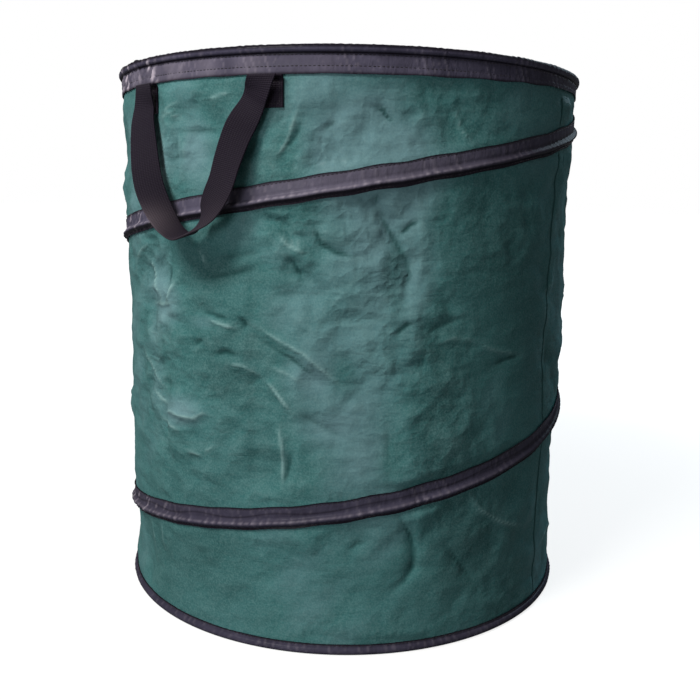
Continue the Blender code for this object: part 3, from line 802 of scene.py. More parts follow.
def make_base_binding(tape):
    """Down the wall, round the hoop, and flat in under the base."""
    bead = np.radians(np.linspace(76, -90, 16))
    radius = np.concatenate([
        np.full(4, FLANGE),
        HOOP_RADIUS + BEAD_RADIUS * np.cos(bead),
        np.linspace(227.5, 217.4, 7) * MM,
    ])
    height = np.concatenate([
        np.linspace(9.5, 7.4, 4) * MM,
        BEAD_RADIUS + BEAD_RADIUS * np.sin(bead),
        np.zeros(7),
    ])
    angles = np.linspace(0, TURN, BASE_COLUMNS, endpoint=False)
    a = angles[:, None]
    turn_r, turn_z = (-turn for turn in profile_turn(radius, height))
    upper = smoothstep(height, 1.0 * MM, 4 * MM)
    gather = ripple(a + height * 1.6, 8 * MM, 31) + 0.5 * ripple(a - height * 2.4, 5 * MM, 32)
    lift = 0.16 * MM * gather * upper + 0.15 * MM * ripple(a, 60 * MM, 33) * upper
    lift = lift - 0.22 * MM * bell(height - BASE_ROW, 0.7 * MM)
    radius = radius + lift * turn_r
    height = np.maximum(height + lift * turn_z, 0.0)
    across = run_along(np.column_stack([radius[0], height[0]]))
    # A dark line at the top edge, painted shade underneath near the floor, and painted shade round 5 and 235
    # degrees on a tape darker all round; the lighter field is painted glints on the gathers
    dark = bell(height - BASE_BINDING_TOP, 1.2 * MM) + smoothstep(height, 2.6 * MM, 1.2 * MM)
    dark = np.maximum(dark, 0.30 + 0.45 * toward(a, 5, 0.7) + 0.15 * toward(a, 235, 0.5))
    fields = {"edge": dark, "painted_highlight": 0.15 * smoothstep(gather, 0.4, 1.3) * upper}
    return bound("base_binding_tape", angles, radius, height, turn_r, turn_z, across, tape, fields)


def spiral_gather(angle, across):
    """Where the spiral tape is gathered most, its small slanting waves, and its wider scattered pinches."""
    gather = ripple(angle + across * 1.4, 8.5 * MM, 41) + 0.5 * ripple(angle - across * 2.2, 5 * MM, 42)
    pinch = ripple(angle - across * 4.0, 14 * MM, 44, 0.6)
    pinch = pinch + 0.6 * ripple(angle + across * 2.6, 23 * MM, 45, 0.6)
    return toward(angle, 238, 0.26), gather, pinch


def spiral_lift(angle, across):
    """How far the spiral tape's outer face stands off the wall: flat flanges, and a ridge over the wire."""
    ridge = 3.3 * MM * (1 - smoothstep(np.abs(across + WIRE_DROP), 0.5 * MM, 4.0 * MM))
    edge = 0.35 * MM * np.exp(-(SPIRAL_HALF - np.abs(across)) / (1.5 * MM))
    rows = sum(bell(across - row, 0.8 * MM) for row in SPIRAL_ROWS)
    rows = rows + 0.8 * bell(across - 0.6 * MM, 0.9 * MM)
    left, gather, pinch = spiral_gather(angle, across)
    gathered = (0.6 + 0.9 * left) * 0.20 * MM * gather + 0.6 * MM * left * np.clip(pinch, -0.3, 1.2)
    return GAP + TAPE + ridge + edge - 0.24 * MM * rows + np.maximum(gathered, -0.3 * MM)


def make_spiral_binding(tape):
    """The tape sewn over the spiral wire."""
    angles = np.linspace(SPIRAL_FIRST, SPIRAL_LAST, SPIRAL_STEPS)
    across = np.linspace(SPIRAL_HALF, -SPIRAL_HALF, 27)
    a, c = np.meshgrid(angles, across, indexing="ij")
    wavy = 0.35 * MM * ripple(a, 55 * MM, 43) * (np.abs(c) / SPIRAL_HALF)
    lift = spiral_lift(a, c)
    height = spiral_height(a) + c + wavy
    outer = polar(WALL_RADIUS + lift, a, height)
    inner = polar(WALL_RADIUS + lift - TAPE, a, height)
    upper = smoothstep(a, math.radians(420), math.radians(480))
    # right marks the side away from the lamps, painted darker
    right = toward(a, 5, 0.62)
    left, gather, pinch = spiral_gather(a, c)
    low_edge = (-7.0 + 2.4 * upper) * MM
    # A dark line at the top edge, painted shade on the underside of the wire ridge, darker on all but the top
    # turn and most along a groove, and painted shade on the side away from the lamps
    dark = bell(c - SPIRAL_HALF, 1.6 * MM) + smoothstep(low_edge - c, 0, 1.4 * MM)
    groove = bell(c - (2.6 + 1.0 * ripple(a, 90 * MM, 47)) * MM, 0.8 * MM)
    dark = np.maximum(dark, (0.32 + 0.42 * groove) * (1 - upper))
    dark = np.maximum(dark, right * (0.25 + 0.67 * smoothstep(c, 4 * MM, -2 * MM)))
    patchy = smoothstep(ripple(a - c * 3, 31 * MM, 46, 0.7), -0.2, 0.9)
    # Painted glints on the gathers at the left, a painted highlight along the top of the wire ridge, and a
    # painted sheen on the top turn round 300 degrees
    painted_highlight = 1.2 * left * patchy * smoothstep(pinch, 0.3, 1.2) + 0.12 * smoothstep(gather, 0.7, 1.6)
    painted_highlight = painted_highlight + (0.24 + 0.14 * gather) * (1 - right) * bell(c + 3.4 * MM, 0.8 * MM)
    painted_highlight = painted_highlight + 0.13 * upper * toward(a, 300, 0.6)
    fields = {"edge": dark, "painted_highlight": painted_highlight}
    return shell("spiral_binding_tape", outer, inner, angles * WALL_RADIUS, across, tape, fields=fields)


def make_spiral_wire(steel):
    """The round wire inside the spiral tape, a little shorter than the tape at both ends."""
    short = 0.014
    angles = np.linspace(SPIRAL_FIRST + short, SPIRAL_LAST - short, WIRE_STEPS)
    around = np.linspace(0, TURN, 9)
    a, b = np.meshgrid(angles, around[:-1], indexing="ij")
    radius = WALL_RADIUS + GAP + WIRE_RADIUS + WIRE_RADIUS * np.cos(b)
    sections = polar(radius, a, spiral_height(a) - WIRE_DROP + WIRE_RADIUS * np.sin(b))
    return tube("spiral_wire", sections, angles * WALL_RADIUS, around * WIRE_RADIUS, steel)


# Stitches

def sew(name, path, thread, pitch=STITCH_PITCH, length=STITCH_LENGTH, radius=STITCH_RADIUS, side=1):
    """Threads laid one after another along a path, on its side away from the bag's axis, or towards it with
    side -1: each is a six-sided spindle whose two ends dip into the cloth."""
    run = run_along(path)
    count = max(2, round(run[-1] / pitch))
    at = (np.arange(count) + 0.5) / count * run[-1]
    points = at_distances(path, run, at)
    along = unit(at_distances(path, run, at + pitch / 4) - at_distances(path, run, at - pitch / 4))
    out = unit(points * [side, side, 0])
    beside = np.cross(along, out)
    steps = np.array([-1.0, -0.72, 0.0, 0.72, 1.0])
    thick = np.array([0.35, 0.85, 1.0, 0.85, 0.35])
    turns = (np.arange(6) / 6 * TURN)[None, None, :, None]
    t = steps[None, :, None, None]
    r = radius * thick[None, :, None, None]
    middle = points[:, None, None] + along[:, None, None] * t * length / 2
    middle = middle - out[:, None, None] * (t**4) * radius * 1.3
    ring = np.cos(turns) * out[:, None, None] + np.sin(turns) * beside[:, None, None]
    vertices = (middle + r * ring).reshape(-1, 3)
    i, j = np.meshgrid(np.arange(4), np.arange(6), indexing="ij")
    i, j = i.ravel(), j.ravel()
    one = np.stack([i * 6 + j, (i + 1) * 6 + j, (i + 1) * 6 + (j + 1) % 6, i * 6 + (j + 1) % 6], 1)
    caps = np.array([[0, 1, 2, 3], [0, 3, 4, 5], [27, 26, 25, 24], [29, 28, 27, 24]])
    one = np.concatenate([one, caps])
    faces = (one[None] + 30 * np.arange(count)[:, None, None]).reshape(-1, 4)
    places = np.stack([vertices[faces][..., 0], vertices[faces][..., 2]], -1)
    return put_mesh(name, vertices, faces, places, thread, sharp=180)


def round_row(name, radius, height, thread):
    """A level row of stitches round the bag."""
    return sew(name, polar(radius, np.linspace(0, TURN, 900), height), thread)


def spiral_row(name, across, thread):
    """A row of stitches along the spiral tape, at one place across it."""
    angles = np.linspace(SPIRAL_FIRST + 0.012, SPIRAL_LAST - 0.012, 1800)
    radius = WALL_RADIUS + spiral_lift(angles, across)
    return sew(name, polar(radius, angles, spiral_height(angles) + across), thread)


# Handles

# Points along the front loop: sideways in half spacings, down in drops
LOOP_POINTS = (
    (-1.00, 0.00), (-1.00, 0.04), (-1.03, 0.14), (-0.99, 0.27), (-0.83, 0.51), (-0.71, 0.66),
    (-0.58, 0.77), (-0.43, 0.87), (-0.27, 0.955), (-0.08, 1.00), (0.10, 0.965), (0.29, 0.875),
    (0.44, 0.76), (0.54, 0.65), (0.60, 0.51), (0.69, 0.34), (0.82, 0.18), (0.89, 0.11),
    (0.95, 0.05), (1.00, 0.00),
)

# How the loop stands off the wall: straight for a share of its drop, then out to its belly, with a dip near
# its fold that has a middle and a width in drops
LOOP_STRAIGHT = 0.20
LOOP_BELLY = 19.096 * MM
LOOP_DIP = 2.6 * MM
DIP_MIDDLE = 0.15
DIP_WIDTH = 0.075

# The webbing's turn about its own line, in degrees: share of the loop's length, and turn
LOOP_TURNS = (
    (0.0, 16.5), (0.03, 12), (0.08, -2), (0.15, -16), (0.26, -34), (0.36, -54), (0.46, -78),
    (0.53, -80), (0.57, -55), (0.61, -16), (0.66, 2), (0.74, 8), (0.81, 16), (0.86, 23), (0.90, 6),
    (0.94, -6), (0.965, 2), (1.0, 16.5),
)

# Painted highlights on the loop where its face turns up to the lamps: share of its length, width of the
# patch, and how much
LOOP_HIGHLIGHTS = ((0.41, 0.05, 1.0), (0.55, 0.12, 0.25))


def smooth_path(points, count):
    """Equal steps along a curve that passes smoothly through the points: cubics that share their slopes."""
    points = np.asarray(points, float)
    ends = np.vstack([2 * points[0] - points[1], points, 2 * points[-1] - points[-2]])
    t = np.linspace(0, 1, 24, endpoint=False)[:, None]
    before, here, after, beyond = (ends[k : len(ends) - 3 + k, None] for k in range(4))
    bend = 2 * before - 5 * here + 4 * after - beyond
    twist = 3 * here - before - 3 * after + beyond
    fine = 0.5 * (2 * here + (after - before) * t + bend * t**2 + twist * t**3)
    fine = np.vstack([fine.reshape(-1, 3), points[-1:]])
    run = run_along(fine)
    return at_distances(fine, run, np.linspace(0, run[-1], count)), run[-1]


def webbing_profile():
    """Webbing cut across, as places across it and out of it: two flat faces and two half-round edges."""
    half = WEBBING_THICK / 2
    core = WEBBING_HALF - half
    flat = core * np.linspace(-1, 1, 17)
    turns = np.radians(np.linspace(-90, 90, 7))[1:-1]
    edge = half * np.cos(turns)
    rise = half * np.sin(turns)
    across = np.concatenate([flat, core + edge, flat[::-1], -core - edge])
    return across, np.concatenate([np.full(17, -half), rise, np.full(17, half), -rise])


def band(name, path, width, facing, length, finish):
    """Webbing along a path: a flat profile with round edges, drawn in at its two ends to half a circle."""
    across, out = webbing_profile()
    run = np.linspace(0, length, len(path))
    thin = np.ones(len(path))
    for from_end in (run, length - run):
        left = 1 - np.clip(from_end / (WEBBING_THICK / 2), 0, 1)
        thin = thin * np.sqrt(np.clip(1 - left**2, 0.02, 1))
    sections = path[:, None] + across[None, :, None] * width[:, None]
    sections = sections + (out[None] * thin[:, None])[..., None] * facing[:, None]
    # A painted highlight along the loop, brighter towards one edge
    loop_highlight = sum(much * bell(run[:, None] / length - share, wide) for share, wide, much in LOOP_HIGHLIGHTS)
    painted_highlight = loop_highlight * (0.6 + 0.4 * across[None] / WEBBING_HALF)
    return tube(name, sections, run, np.append(across, across[0]), finish, sharp=70, painted_highlight=painted_highlight)


def loop_frame(path, turn):
    """Across and outward directions of webbing that turns about its line and is level at its two ends."""
    along = unit(np.gradient(path, axis=0))
    sideways = unit(np.cross(along, [0.0, -1.0, 0.0]))
    from_end = np.minimum(np.linspace(0, 1, len(path)), np.linspace(1, 0, len(path)))
    level = bell(from_end, 0.05)[:, None]
    sideways = unit(sideways * (1 - level) + np.sign(sideways[:, :1]) * [1.0, 0.0, 0.0] * level)
    out = unit(np.cross(sideways, along))
    width = np.cos(turn)[:, None] * sideways - np.sin(turn)[:, None] * out
    return width, unit(np.cross(width, along))


def make_loop(name, back, webbing):
    """The free middle of a strap, hanging from its fold and turning about its own line as it goes."""
    points = []
    for sideways, down in LOOP_POINTS:
        share = max(0.0, (down - LOOP_STRAIGHT) / (1 - LOOP_STRAIGHT))
        outward = LOOP_BELLY * math.sin(share * math.pi / 2) - LOOP_DIP * bell(down - DIP_MIDDLE, DIP_WIDTH)
        points.append((HANDLE_HALF * sideways, -HINGE_REACH - outward, HINGE_HEIGHT - HANDLE_DROP * down))
    path, length = smooth_path(points, LOOP_STEPS)
    shares, turns = zip(*LOOP_TURNS)
    turn = np.interp(np.linspace(0, 1, len(path)), shares, np.radians(turns))
    kernel = np.hanning(29)
    turn = np.convolve(np.pad(turn, 14, "edge"), kernel / kernel.sum(), "valid")
    width, facing = loop_frame(path, turn)
    if back:
        path, width, facing = (v * [-1, -1, 1] for v in (path, width, facing))
    return band(name, path, width, facing, length, webbing)


def make_sewn_end(name, middle, webbing):
    """A webbing end flat on the round wall, turned forward at the top to the line the loop swings about."""
    flat = WALL_RADIUS + GAP + WEBBING_THICK / 2
    reach = math.hypot(HINGE_REACH, HANDLE_HALF - WEBBING_HALF) - 0.4 * MM
    top = HINGE_HEIGHT - 0.3 * MM
    corner = np.radians(np.linspace(180, 90, 9))
    bend = 2.2 * MM
    radius = np.concatenate([
        np.full(22, flat),
        flat + bend + bend * np.cos(corner),
        np.linspace(flat + bend + 0.3 * MM, reach, 8),
    ])
    height = np.concatenate([
        np.linspace(SEWN_BOTTOM, top - bend - 0.3 * MM, 22),
        top - bend + bend * np.sin(corner),
        np.full(8, top),
    ])
    line = np.column_stack([radius, height])
    ahead = unit(np.gradient(line, axis=0))
    across, out = webbing_profile()
    thin = np.ones((len(line), 1))
    thin[0] = 0.7
    thin[-1] = 0.5
    r = radius[:, None] + out * thin * ahead[:, 1:]
    z = height[:, None] - out * thin * ahead[:, :1]
    sections = polar(r, middle + across / WALL_RADIUS, z)
    return tube(name, sections, run_along(line), np.append(across, across[0]), webbing, sharp=70)


def make_box_stitch(name, middle, thread):
    """A closed box of small stitches on a sewn end."""
    inset = 3.0 * MM
    half = (WEBBING_HALF - inset) / WALL_RADIUS
    low = SEWN_BOTTOM + inset
    high = 486.5 * MM
    corners = [(-half, low), (half, low), (half, high), (-half, high), (-half, low)]
    marks = []
    for (a0, z0), (a1, z1) in zip(corners[:-1], corners[1:]):
        for t in np.linspace(0, 1, 12, endpoint=False):
            marks.append((middle + a0 + (a1 - a0) * t, z0 + (z1 - z0) * t))
    marks.append((middle - half, low))
    angles, heights = np.array(marks).T
    path = polar(WALL_RADIUS + GAP + WEBBING_THICK + 0.05 * MM, angles, heights)
    return sew(name, path, thread, pitch=2.7 * MM, length=2.3 * MM, radius=0.30 * MM)


# Base and seam

def make_base_cloth(cloth):
    """A round sheet inside the base binding, with its edge turned up inside the wall."""
    edge_radius = [223.6, 225.2, 225.9, 226.3, 227.2, 227.7, 227.8, 227.8, 227.8]
    edge_height = [1.95, 2.2, 3.0, 4.6, 6.6, 7.9, 9.2, 10.6, 12.0]
    radius = np.concatenate([np.linspace(0, 222, 70), edge_radius]) * MM
    height = np.concatenate([np.full(70, 1.9), edge_height]) * MM
    angles = np.linspace(0, TURN, BOTTOM_COLUMNS, endpoint=False)
    a, r = np.meshgrid(angles, radius, indexing="ij")
    level, _ = facets(a, r, 70 * MM, 45 * MM, 51)
    fine, _ = facets(a + 1, r, 30 * MM, 22 * MM, 52)
    free = smoothstep(r, 0, 60 * MM) * smoothstep(r, 222 * MM, 195 * MM)
    swell = 2.5 * MM * bell(r, 120 * MM)
    lift = np.clip(free * (1.6 + 1.1 * level + 0.4 * fine), 0, 6) * MM + swell
    outer = polar(r, a, height[None] + lift)
    up = normals(outer, ring=True)
    up *= np.sign((up * [0, 0, 1.0] - up * polar(1.0, a, 0 * a) * 0.2).sum(-1, keepdims=True))
    up[:, 0] = [0, 0, 1]
    inner = outer + CLOTH * up
    inner[:, 0] = inner[:, :1].mean(0)
    along = np.append(angles, TURN) * WALL_RADIUS
    plain = 0 * r
    fields = {"ridge_whitening_and_glint": plain, "valley_shade": plain, "tone": plain, "crumple": 0.4 + plain}
    made = shell("base_cloth", outer, inner, along, radius, cloth, ring=True, fields=fields, sharp=60)
    close_poles(made)
    return made


def make_seam_tape(tape):
    """The tape inside the wall behind its seam, which lies loosely between its stitches."""
    half = 8.5 * MM / WALL_RADIUS
    across = np.linspace(-half, half, 13)
    heights = np.linspace(12.4, 492.0, SEAM_STEPS) * MM
    h, a = np.meshgrid(heights, across, indexing="ij")
    stands = 0.12 * MM * np.sin(h / (6 * MM) + 3 * np.sin(h * 40)) * (1 - np.abs(a) / half)
    radius = WALL_BACK + np.minimum(wall_shape(a, h)[0], 0) - stands
    outer = polar(radius, a, h)
    inner = polar(radius - TAPE, a, h)
    return shell("side_seam_strip", outer, inner, heights, across * WALL_RADIUS, tape)


def make_seam_stitches(thread):
    """The row of stitches down the inside of the seam tape."""
    heights = np.linspace(13, 491.5, 500) * MM
    middle = np.zeros(500)
    radius = WALL_BACK + np.minimum(wall_shape(middle, heights)[0], 0) - TAPE - 0.1 * MM
    return sew("side_seam_stitches", polar(radius, middle, heights), thread, side=-1)


# Materials

class Nodes:
    """The node tree of a material or the world, with short calls for the nodes used here."""

    def __init__(self, owner, shader="Principled BSDF"):
        owner.use_nodes = True
        self.owner = owner
        self.tree = owner.node_tree
        self.shader = self.tree.nodes[shader]

    def link(self, source, target):
        self.tree.links.new(source, target)

    def node(self, kind, sockets=None, **values):
        made = self.tree.nodes.new(kind)
        for key, value in values.items():
            setattr(made, key, value)
        for key, value in (sockets or {}).items():
            made.inputs[key].default_value = value
        return made

    @cached_property
    def coordinates(self):
        return self.node("ShaderNodeTexCoord")

    def constants(self, values):
        """Constants set directly on the shader's sockets."""
        for socket, value in values.items():
            self.shader.inputs[socket].default_value = value

    def noise(self, space, scale, detail=4.0, roughness=0.5, distortion=0.0, stretch=None):
        sockets = {"Scale": scale, "Detail": detail, "Roughness": roughness, "Distortion": distortion}
        made = self.node("ShaderNodeTexNoise", sockets)
        self.link(self.space(space, stretch), made.inputs["Vector"])
        return made.outputs["Fac"]

    def space(self, space, stretch=None):
        source = self.coordinates.outputs[space]
        if stretch is None:
            return source
        mapping = self.node("ShaderNodeMapping", {"Scale": stretch})
        self.link(source, mapping.inputs["Vector"])
        return mapping.outputs["Vector"]

    def cells(self, scale, warp, stretch):
        """Flat-sided pyramids between scattered points, whose places are shaken by a noise first."""
        swirl = self.node("ShaderNodeTexNoise", {"Scale": scale * 0.7, "Detail": 2.0})
        self.link(self.coordinates.outputs["Object"], swirl.inputs["Vector"])
        moved = self.node("ShaderNodeVectorMath", {1: (warp, warp, warp)}, operation="MULTIPLY_ADD")
        self.link(swirl.outputs["Color"], moved.inputs[0])
        self.link(self.space("Object", stretch), moved.inputs[2])
        made = self.node("ShaderNodeTexVoronoi", {"Scale": scale}, distance="MANHATTAN")
        self.link(moved.outputs["Vector"], made.inputs["Vector"])
        return made.outputs["Distance"]

    def wave(self, direction, pitch, distortion):
        """Bands along one way of the cloth, one every pitch metres."""
        sockets = {"Scale": TURN / 20 / pitch, "Distortion": distortion}
        made = self.node("ShaderNodeTexWave", sockets, bands_direction=direction)
        self.link(self.coordinates.outputs["UV"], made.inputs["Vector"])
        return made.outputs["Fac"]

    def math(self, operation, a, b, clamp=False):
        made = self.node("ShaderNodeMath", operation=operation, use_clamp=clamp)
        for socket, value in zip(made.inputs, (a, b)):
            if isinstance(value, (int, float)):
                socket.default_value = value
            else:
                self.link(value, socket)
        return made.outputs[0]

    def ramp(self, source, low, high, start, end):
        """Start at low to end at high, and level beyond them."""
        sockets = {"From Min": low, "From Max": high, "To Min": start, "To Max": end}
        made = self.node("ShaderNodeMapRange", sockets)
        self.link(source, made.inputs["Value"])
        return made.outputs["Result"]

    def mix(self, factor, first, second):
        made = self.node("ShaderNodeMix", data_type="RGBA")
        self.link(factor, made.inputs["Factor"])
        for socket, value in ((made.inputs[6], first), (made.inputs[7], second)):
            if isinstance(value, tuple):
                socket.default_value = (*value, 1.0)
            else:
                self.link(value, socket)
        return made.outputs[2]

    def relief(self, *layers):
        """Bumps laid one on another: each is a height, the distance it stands for, and its strength."""
        normal = None
        for height, distance, strength in layers:
            made = self.node("ShaderNodeBump", {"Distance": distance, "Strength": strength})
            self.link(height, made.inputs["Height"])
            if normal is not None:
                self.link(normal, made.inputs["Normal"])
            normal = made.outputs["Normal"]
        return normal

    def attribute(self, name):
        return self.node("ShaderNodeAttribute", attribute_name=name).outputs["Fac"]

    def seen(self):
        """1 for rays straight from the camera and by mirrors or clear things, and 0 for soft light."""
        rays = self.node("ShaderNodeLightPath").outputs
        straight = self.math("ADD", rays["Is Camera Ray"], rays["Is Glossy Ray"])
        return self.math("ADD", straight, rays["Is Transmission Ray"], clamp=True)

    def finish(self, colour, roughness, normal):
        for source, socket in ((colour, "Base Color"), (roughness, "Roughness"), (normal, "Normal")):
            if source is not None:
                self.link(source, self.shader.inputs[socket])
        return self.owner


def new_material(name):
    """The node tree of a new material."""
    return Nodes(bpy.data.materials.new(name))


def cloth_material(name):
    """Coated woven cloth: fine weave, small crumples and mottled all over, paler along its ridges as crease
    whitening and painted highlight, with painted shade along its valleys and painted light, sheen and shade
    in soft patches.
    """
    n = new_material(name)
    n.constants({"Specular IOR Level": 0.0, "Coat Weight": 0.035, "Coat Roughness": 0.30})
    # The dark colour, a share of the deep one, is used for painted shade and for the weave's hollows
    dark = tuple(DARK_SHARE * v for v in CLOTH_DEEP)
    ridge_whitening_and_glint = n.attribute("ridge_whitening_and_glint")
    valley_shade = n.attribute("valley_shade")
    tone = n.attribute("tone")
    share = n.attribute("crumple")
    weave = n.math("MULTIPLY", n.wave("X", 0.9 * MM, 0.4), n.wave("Y", 0.9 * MM, 0.4))
    mottle = n.noise("Object", 9, 5, 0.62)
    speckle = n.noise("Object", 640, 2, 0.7)
    crumple = n.noise("Object", 46, 6, 0.55, 0.8)
    streaks = n.noise("UV", 1, 5, 0.6, 0.7, stretch=(70, 260, 1))
    jitter = n.math("MULTIPLY", n.math("SUBTRACT", n.noise("Object", 190, 4, 0.6), 0.5), 0.9)
    # Pale lines along the ridges, partly crease whitening and partly a painted highlight
    painted_highlight = n.math("MULTIPLY", ridge_whitening_and_glint, n.ramp(n.noise("Object", 60, 3), 0.35, 0.65, 0.2, 0.6))
    painted_highlight = n.math("ADD", painted_highlight, n.ramp(n.math("ADD", ridge_whitening_and_glint, jitter), 0.38, 1.0, 0.0, 0.55))
    # Painted shade along the valleys
    broken = n.ramp(n.math("ADD", valley_shade, jitter), 0.40, 0.85, 0.0, 0.5)
    shaded = n.math("ADD", n.math("MULTIPLY", valley_shade, 0.55), broken)
    mixed = n.mix(n.ramp(mottle, 0.32, 0.68, 0.0, 1.0), CLOTH_DEEP, CLOTH_PLAIN)
    # Painted sheen where the tone is above 0 and painted shade where it is below; then pale flecks, the
    # painted highlights on the ridges and the painted shade in the valleys
    mixed = n.mix(n.ramp(tone, 0.0, 1.0, 0.0, 0.42), mixed, CLOTH_SHEEN)
    mixed = n.mix(n.ramp(tone, 0.0, -1.0, 0.0, 0.55), mixed, dark)
    mixed = n.mix(n.ramp(speckle, 0.38, 0.68, 0.0, 0.22), mixed, CLOTH_PALE)
    mixed = n.mix(n.math("MULTIPLY", painted_highlight, 0.9, clamp=True), mixed, CLOTH_PALE)
    mixed = n.mix(n.math("MULTIPLY", shaded, 0.88, clamp=True), mixed, dark)
    mixed = n.mix(n.ramp(weave, 0.0, 0.5, 0.22, 0.0), mixed, dark)
    rough = n.ramp(n.noise("Object", 30, 4), 0.3, 0.7, 0.50, 0.66)
    return n.finish(mixed, rough, n.relief(
        (n.math("SUBTRACT", ridge_whitening_and_glint, valley_shade), 0.5 * MM, 1.0),
        (n.math("MULTIPLY", n.cells(24, 0.030, (1, 1, 1.25)), share), 2.8 * MM, 1.0),
        (n.math("MULTIPLY", n.cells(62, 0.012, (1, 1, 1.3)), share), 1.4 * MM, 1.0),
        (crumple, 0.45 * MM, 1.0),
        (streaks, 0.40 * MM, 1.0),
        (n.noise("Object", 170, 4, 0.6), 0.20 * MM, 1.0),
        (weave, 0.06 * MM, 0.8),
    ))


def tape_material(name):
    """Coated binding tape: a soft gloss, a fine grain, and small gathers across it, with painted highlights
    and painted shade from its fields.
    """
    n = new_material(name)
    n.constants({"Specular IOR Level": 0.0, "Coat Weight": 0.04, "Coat Roughness": 0.25})
    grain = n.noise("Object", 900, 3, 0.6)
    gather = n.noise("UV", 1, 5, 0.55, 0.6, stretch=(190, 60, 1))
    mottle = n.noise("Object", 40, 5, 0.6)
    mixed = n.mix(n.ramp(mottle, 0.35, 0.7, 0.0, 0.8), TAPE_PLAIN, TAPE_PALE)
    # Painted highlights, then dark edge lines and painted shade from the edge field
    mixed = n.mix(n.math("MULTIPLY", n.attribute("painted_highlight"), 0.8, clamp=True), mixed, TAPE_HIGHLIGHT)
    mixed = n.mix(n.math("MULTIPLY", n.attribute("edge"), 0.88, clamp=True), mixed, TAPE_DARK)
    rough = n.ramp(mottle, 0.3, 0.7, 0.42, 0.56)
    return n.finish(mixed, rough, n.relief((gather, 1.1 * MM, 1.0), (grain, 0.06 * MM, 0.6)))


def webbing_material(name):
    """Woven webbing: ribs across it, fine lines along it, a soft nap, and a painted highlight from its field.
    """
    n = new_material(name)
    n.constants({"Specular IOR Level": 0.05})
    ribs = n.wave("X", 1.5 * MM, 0.6)
    lines = n.wave("Y", 2.1 * MM, 0.5)
    height = n.math("ADD", n.math("MULTIPLY", ribs, 0.7), n.math("MULTIPLY", lines, 0.5))
    fuzz = n.noise("Object", 700, 4, 0.7)
    mixed = n.mix(n.ramp(height, 0.25, 1.0, 0.0, 0.75), WEBBING_PLAIN, WEBBING_PALE)
    mixed = n.mix(n.ramp(fuzz, 0.4, 0.75, 0.0, 0.35), mixed, WEBBING_PALE)
    # Painted highlight where the loop turns up to the lamps
    mixed = n.mix(n.math("MULTIPLY", n.attribute("painted_highlight"), 0.5, clamp=True), mixed, WEBBING_HIGHLIGHT)
    rough = n.ramp(fuzz, 0.3, 0.7, 0.55, 0.75)
    return n.finish(mixed, rough, n.relief((height, 0.32 * MM, 0.9), (fuzz, 0.08 * MM, 0.6)))


def thread_material(name):
    """Twisted thread: a fine slant across each stitch."""
    n = new_material(name)
    n.constants({"Roughness": 0.7, "Specular IOR Level": 0.1})
    twist = n.noise("Object", 1600, 2, 0.5)
    mixed = n.mix(n.ramp(twist, 0.3, 0.7, 0.0, 1.0), THREAD_PLAIN, THREAD_PALE)
    return n.finish(mixed, None, n.relief((twist, 0.05 * MM, 0.8)))


def steel_material(name):
    """Drawn spring wire: bright, with fine marks along it."""
    n = new_material(name)
    n.constants({"Metallic": 1.0})
    marks = n.noise("Object", 320, 4, 0.6)
    mixed = n.mix(n.ramp(marks, 0.3, 0.7, 0.0, 1.0), STEEL_DARK, STEEL_BRIGHT)
    return n.finish(mixed, n.ramp(marks, 0.3, 0.7, 0.26, 0.40), n.relief((marks, 0.03 * MM, 0.5)))


# Stage

def make_stage():
    """A floor and a sky that are bright to the camera and shed little light on the bag."""
    n = new_material("pale_floor")
    n.constants({"Base Color": (0.20, 0.20, 0.20, 1), "Roughness": 0.9, "Specular IOR Level": 0.1})
    n.constants({"Emission Color": (1, 1, 1, 1)})
    reach = n.node("ShaderNodeVectorMath", operation="LENGTH")
    n.link(n.coordinates.outputs["Object"], reach.inputs[0])
    glow = n.math("MULTIPLY", n.seen(), n.ramp(reach.outputs["Value"], 0.5, 2.5, 0.80, 1.0))
    n.link(glow, n.shader.inputs["Emission Strength"])
    corners = [(x * FLOOR_HALF, y * FLOOR_HALF, 0) for x, y in ((-1, -1), (1, -1), (1, 1), (-1, 1))]
    mesh = bpy.data.meshes.new("floor")
    mesh.from_pydata(corners, [], [(0, 1, 2, 3)])
    mesh.materials.append(n.owner)
    floor = add_object("floor", mesh)
    world = bpy.data.worlds.new("studio")
    bpy.context.scene.world = world
    sky = Nodes(world, "Background")
    sky.constants({"Color": (1, 1, 1, 1)})
    sky.link(sky.ramp(sky.seen(), 0.0, 1.0, SKY_LIGHT, 1.0), sky.shader.inputs["Strength"])


def lamp(name, degrees, reach, height, aim, size, power, colour):
    """A round lamp that faces the bag's axis."""
    data = bpy.data.lights.new(name, "AREA")
    data.color = colour
    data.shape = "DISK"
    data.size = size
    data.energy = power
    angle = math.radians(degrees)
    x, y = reach * math.cos(angle), reach * math.sin(angle)
    made = add_object(name, data)
    made.location = (x, y, height)
    made.rotation_euler = Vector((x, y, height - aim)).to_track_quat("Z", "Y").to_euler()


def make_camera():
    """The camera, fitted to the bag's outline as seen from the front right."""
    data = bpy.data.cameras.new("camera")
    data.lens = LENS
    data.sensor_width = SENSOR
    data.clip_end = FAR_CLIP
    made = add_object("camera", data)
    turn = Matrix.Rotation(CAMERA_TURN, 4, "Z")
    tilt = Matrix.Rotation(math.pi / 2 - CAMERA_PITCH, 4, "X")
    roll = Matrix.Rotation(CAMERA_ROLL, 4, "Z")
    made.matrix_world = Matrix.Translation(CAMERA_PLACE) @ turn @ tilt @ roll
    bpy.context.scene.camera = made


make_camera()
make_stage()
for name, values in LAMPS.items():
    lamp(name, *values)
bpy.context.scene.view_settings.view_transform = "Standard"

green = cloth_material("green_coated_cloth")
tape = tape_material("dark_binding_tape")
webbing = webbing_material("black_webbing")
thread = thread_material("black_thread")
steel = steel_material("drawn_spring_steel")

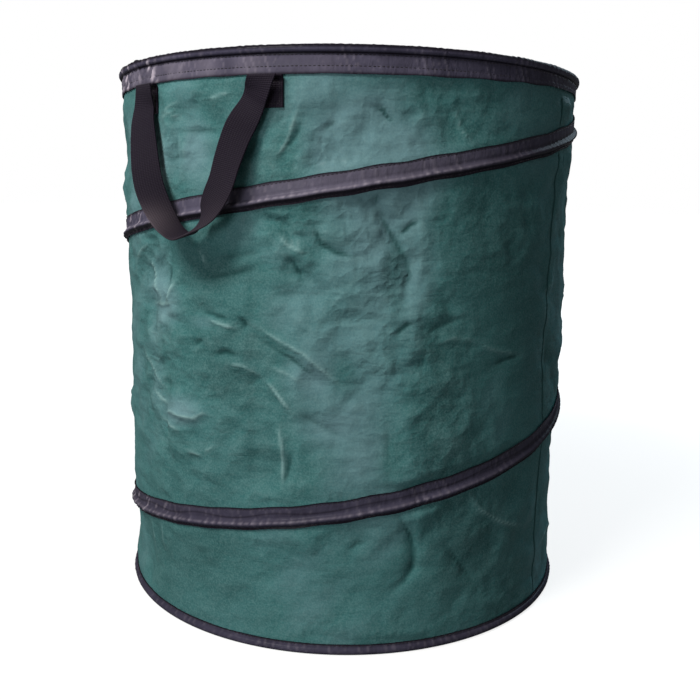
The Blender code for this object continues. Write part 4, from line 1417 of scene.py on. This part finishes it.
for node in ("rim_hoop", "rim_hoop_sleeve", "base_hoop", "base_hoop_sleeve"):
    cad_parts[node].data.materials[0] = steel


def settle(piece, body, node):
    """The piece rides on its body and stands for a CAD node, which is hidden."""
    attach(piece, body)
    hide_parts(node)
    return piece


def flatten(piece):
    """Gives the piece a mesh of its own."""
    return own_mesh(piece)


def fold_up(piece):
    """Gives the piece a mesh of its own."""
    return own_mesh(piece)


walls = make_wall(green)
for wall in walls:
    flatten(settle(wall, "base", "body_panel"))
base_cloth = settle(make_base_cloth(green), "base", "base_panel")
settle(make_rim_binding(tape), "rim", "rim_binding")
settle(make_base_binding(tape), "base", "base_binding")
flatten(settle(make_spiral_binding(tape), "base", "spiral_binding"))
flatten(settle(make_spiral_wire(steel), "base", "spiral_spring"))
flatten(settle(make_seam_tape(tape), "base", "side_seam_tape"))
flatten(settle(make_seam_stitches(thread), "base", "side_seam_stitch"))

for name, sunk, height, body, node in (
    ("rim_stitches_lower", 0.22, RIM_ROWS[0], "rim", "rim_lower_stitch"),
    ("rim_stitches_upper", 0.22, RIM_ROWS[1], "rim", "rim_upper_stitch"),
    ("base_stitches", 0.18, BASE_ROW, "base", "base_stitch"),
):
    settle(round_row(name, FLANGE - sunk * MM, height, thread), body, node)
for level, across in zip(("upper", "lower"), SPIRAL_ROWS):
    row = spiral_row(f"spiral_stitches_{level}", across, thread)
    flatten(settle(row, "base", f"spiral_{level}_stitch"))

for hand, side in (("front", -1), ("back", 1)):
    loop = make_loop(f"{hand}_handle_webbing", side > 0, webbing)
    settle(loop, f"handle_{hand}", f"handle_{hand}_loop")
    fold_up(loop)
    for end, sign in (("left", -1), ("right", 1)):
        middle = side * math.pi / 2 + sign * END_ANGLE
        node = f"handle_{hand}_end_{end}"
        sewn = make_sewn_end(f"{hand}_sewn_end_{end}", middle, webbing)
        fold_up(settle(sewn, "rim", node))
        box = make_box_stitch(f"{hand}_box_stitches_{end}", middle, thread)
        fold_up(settle(box, "rim", node + "_stitch"))
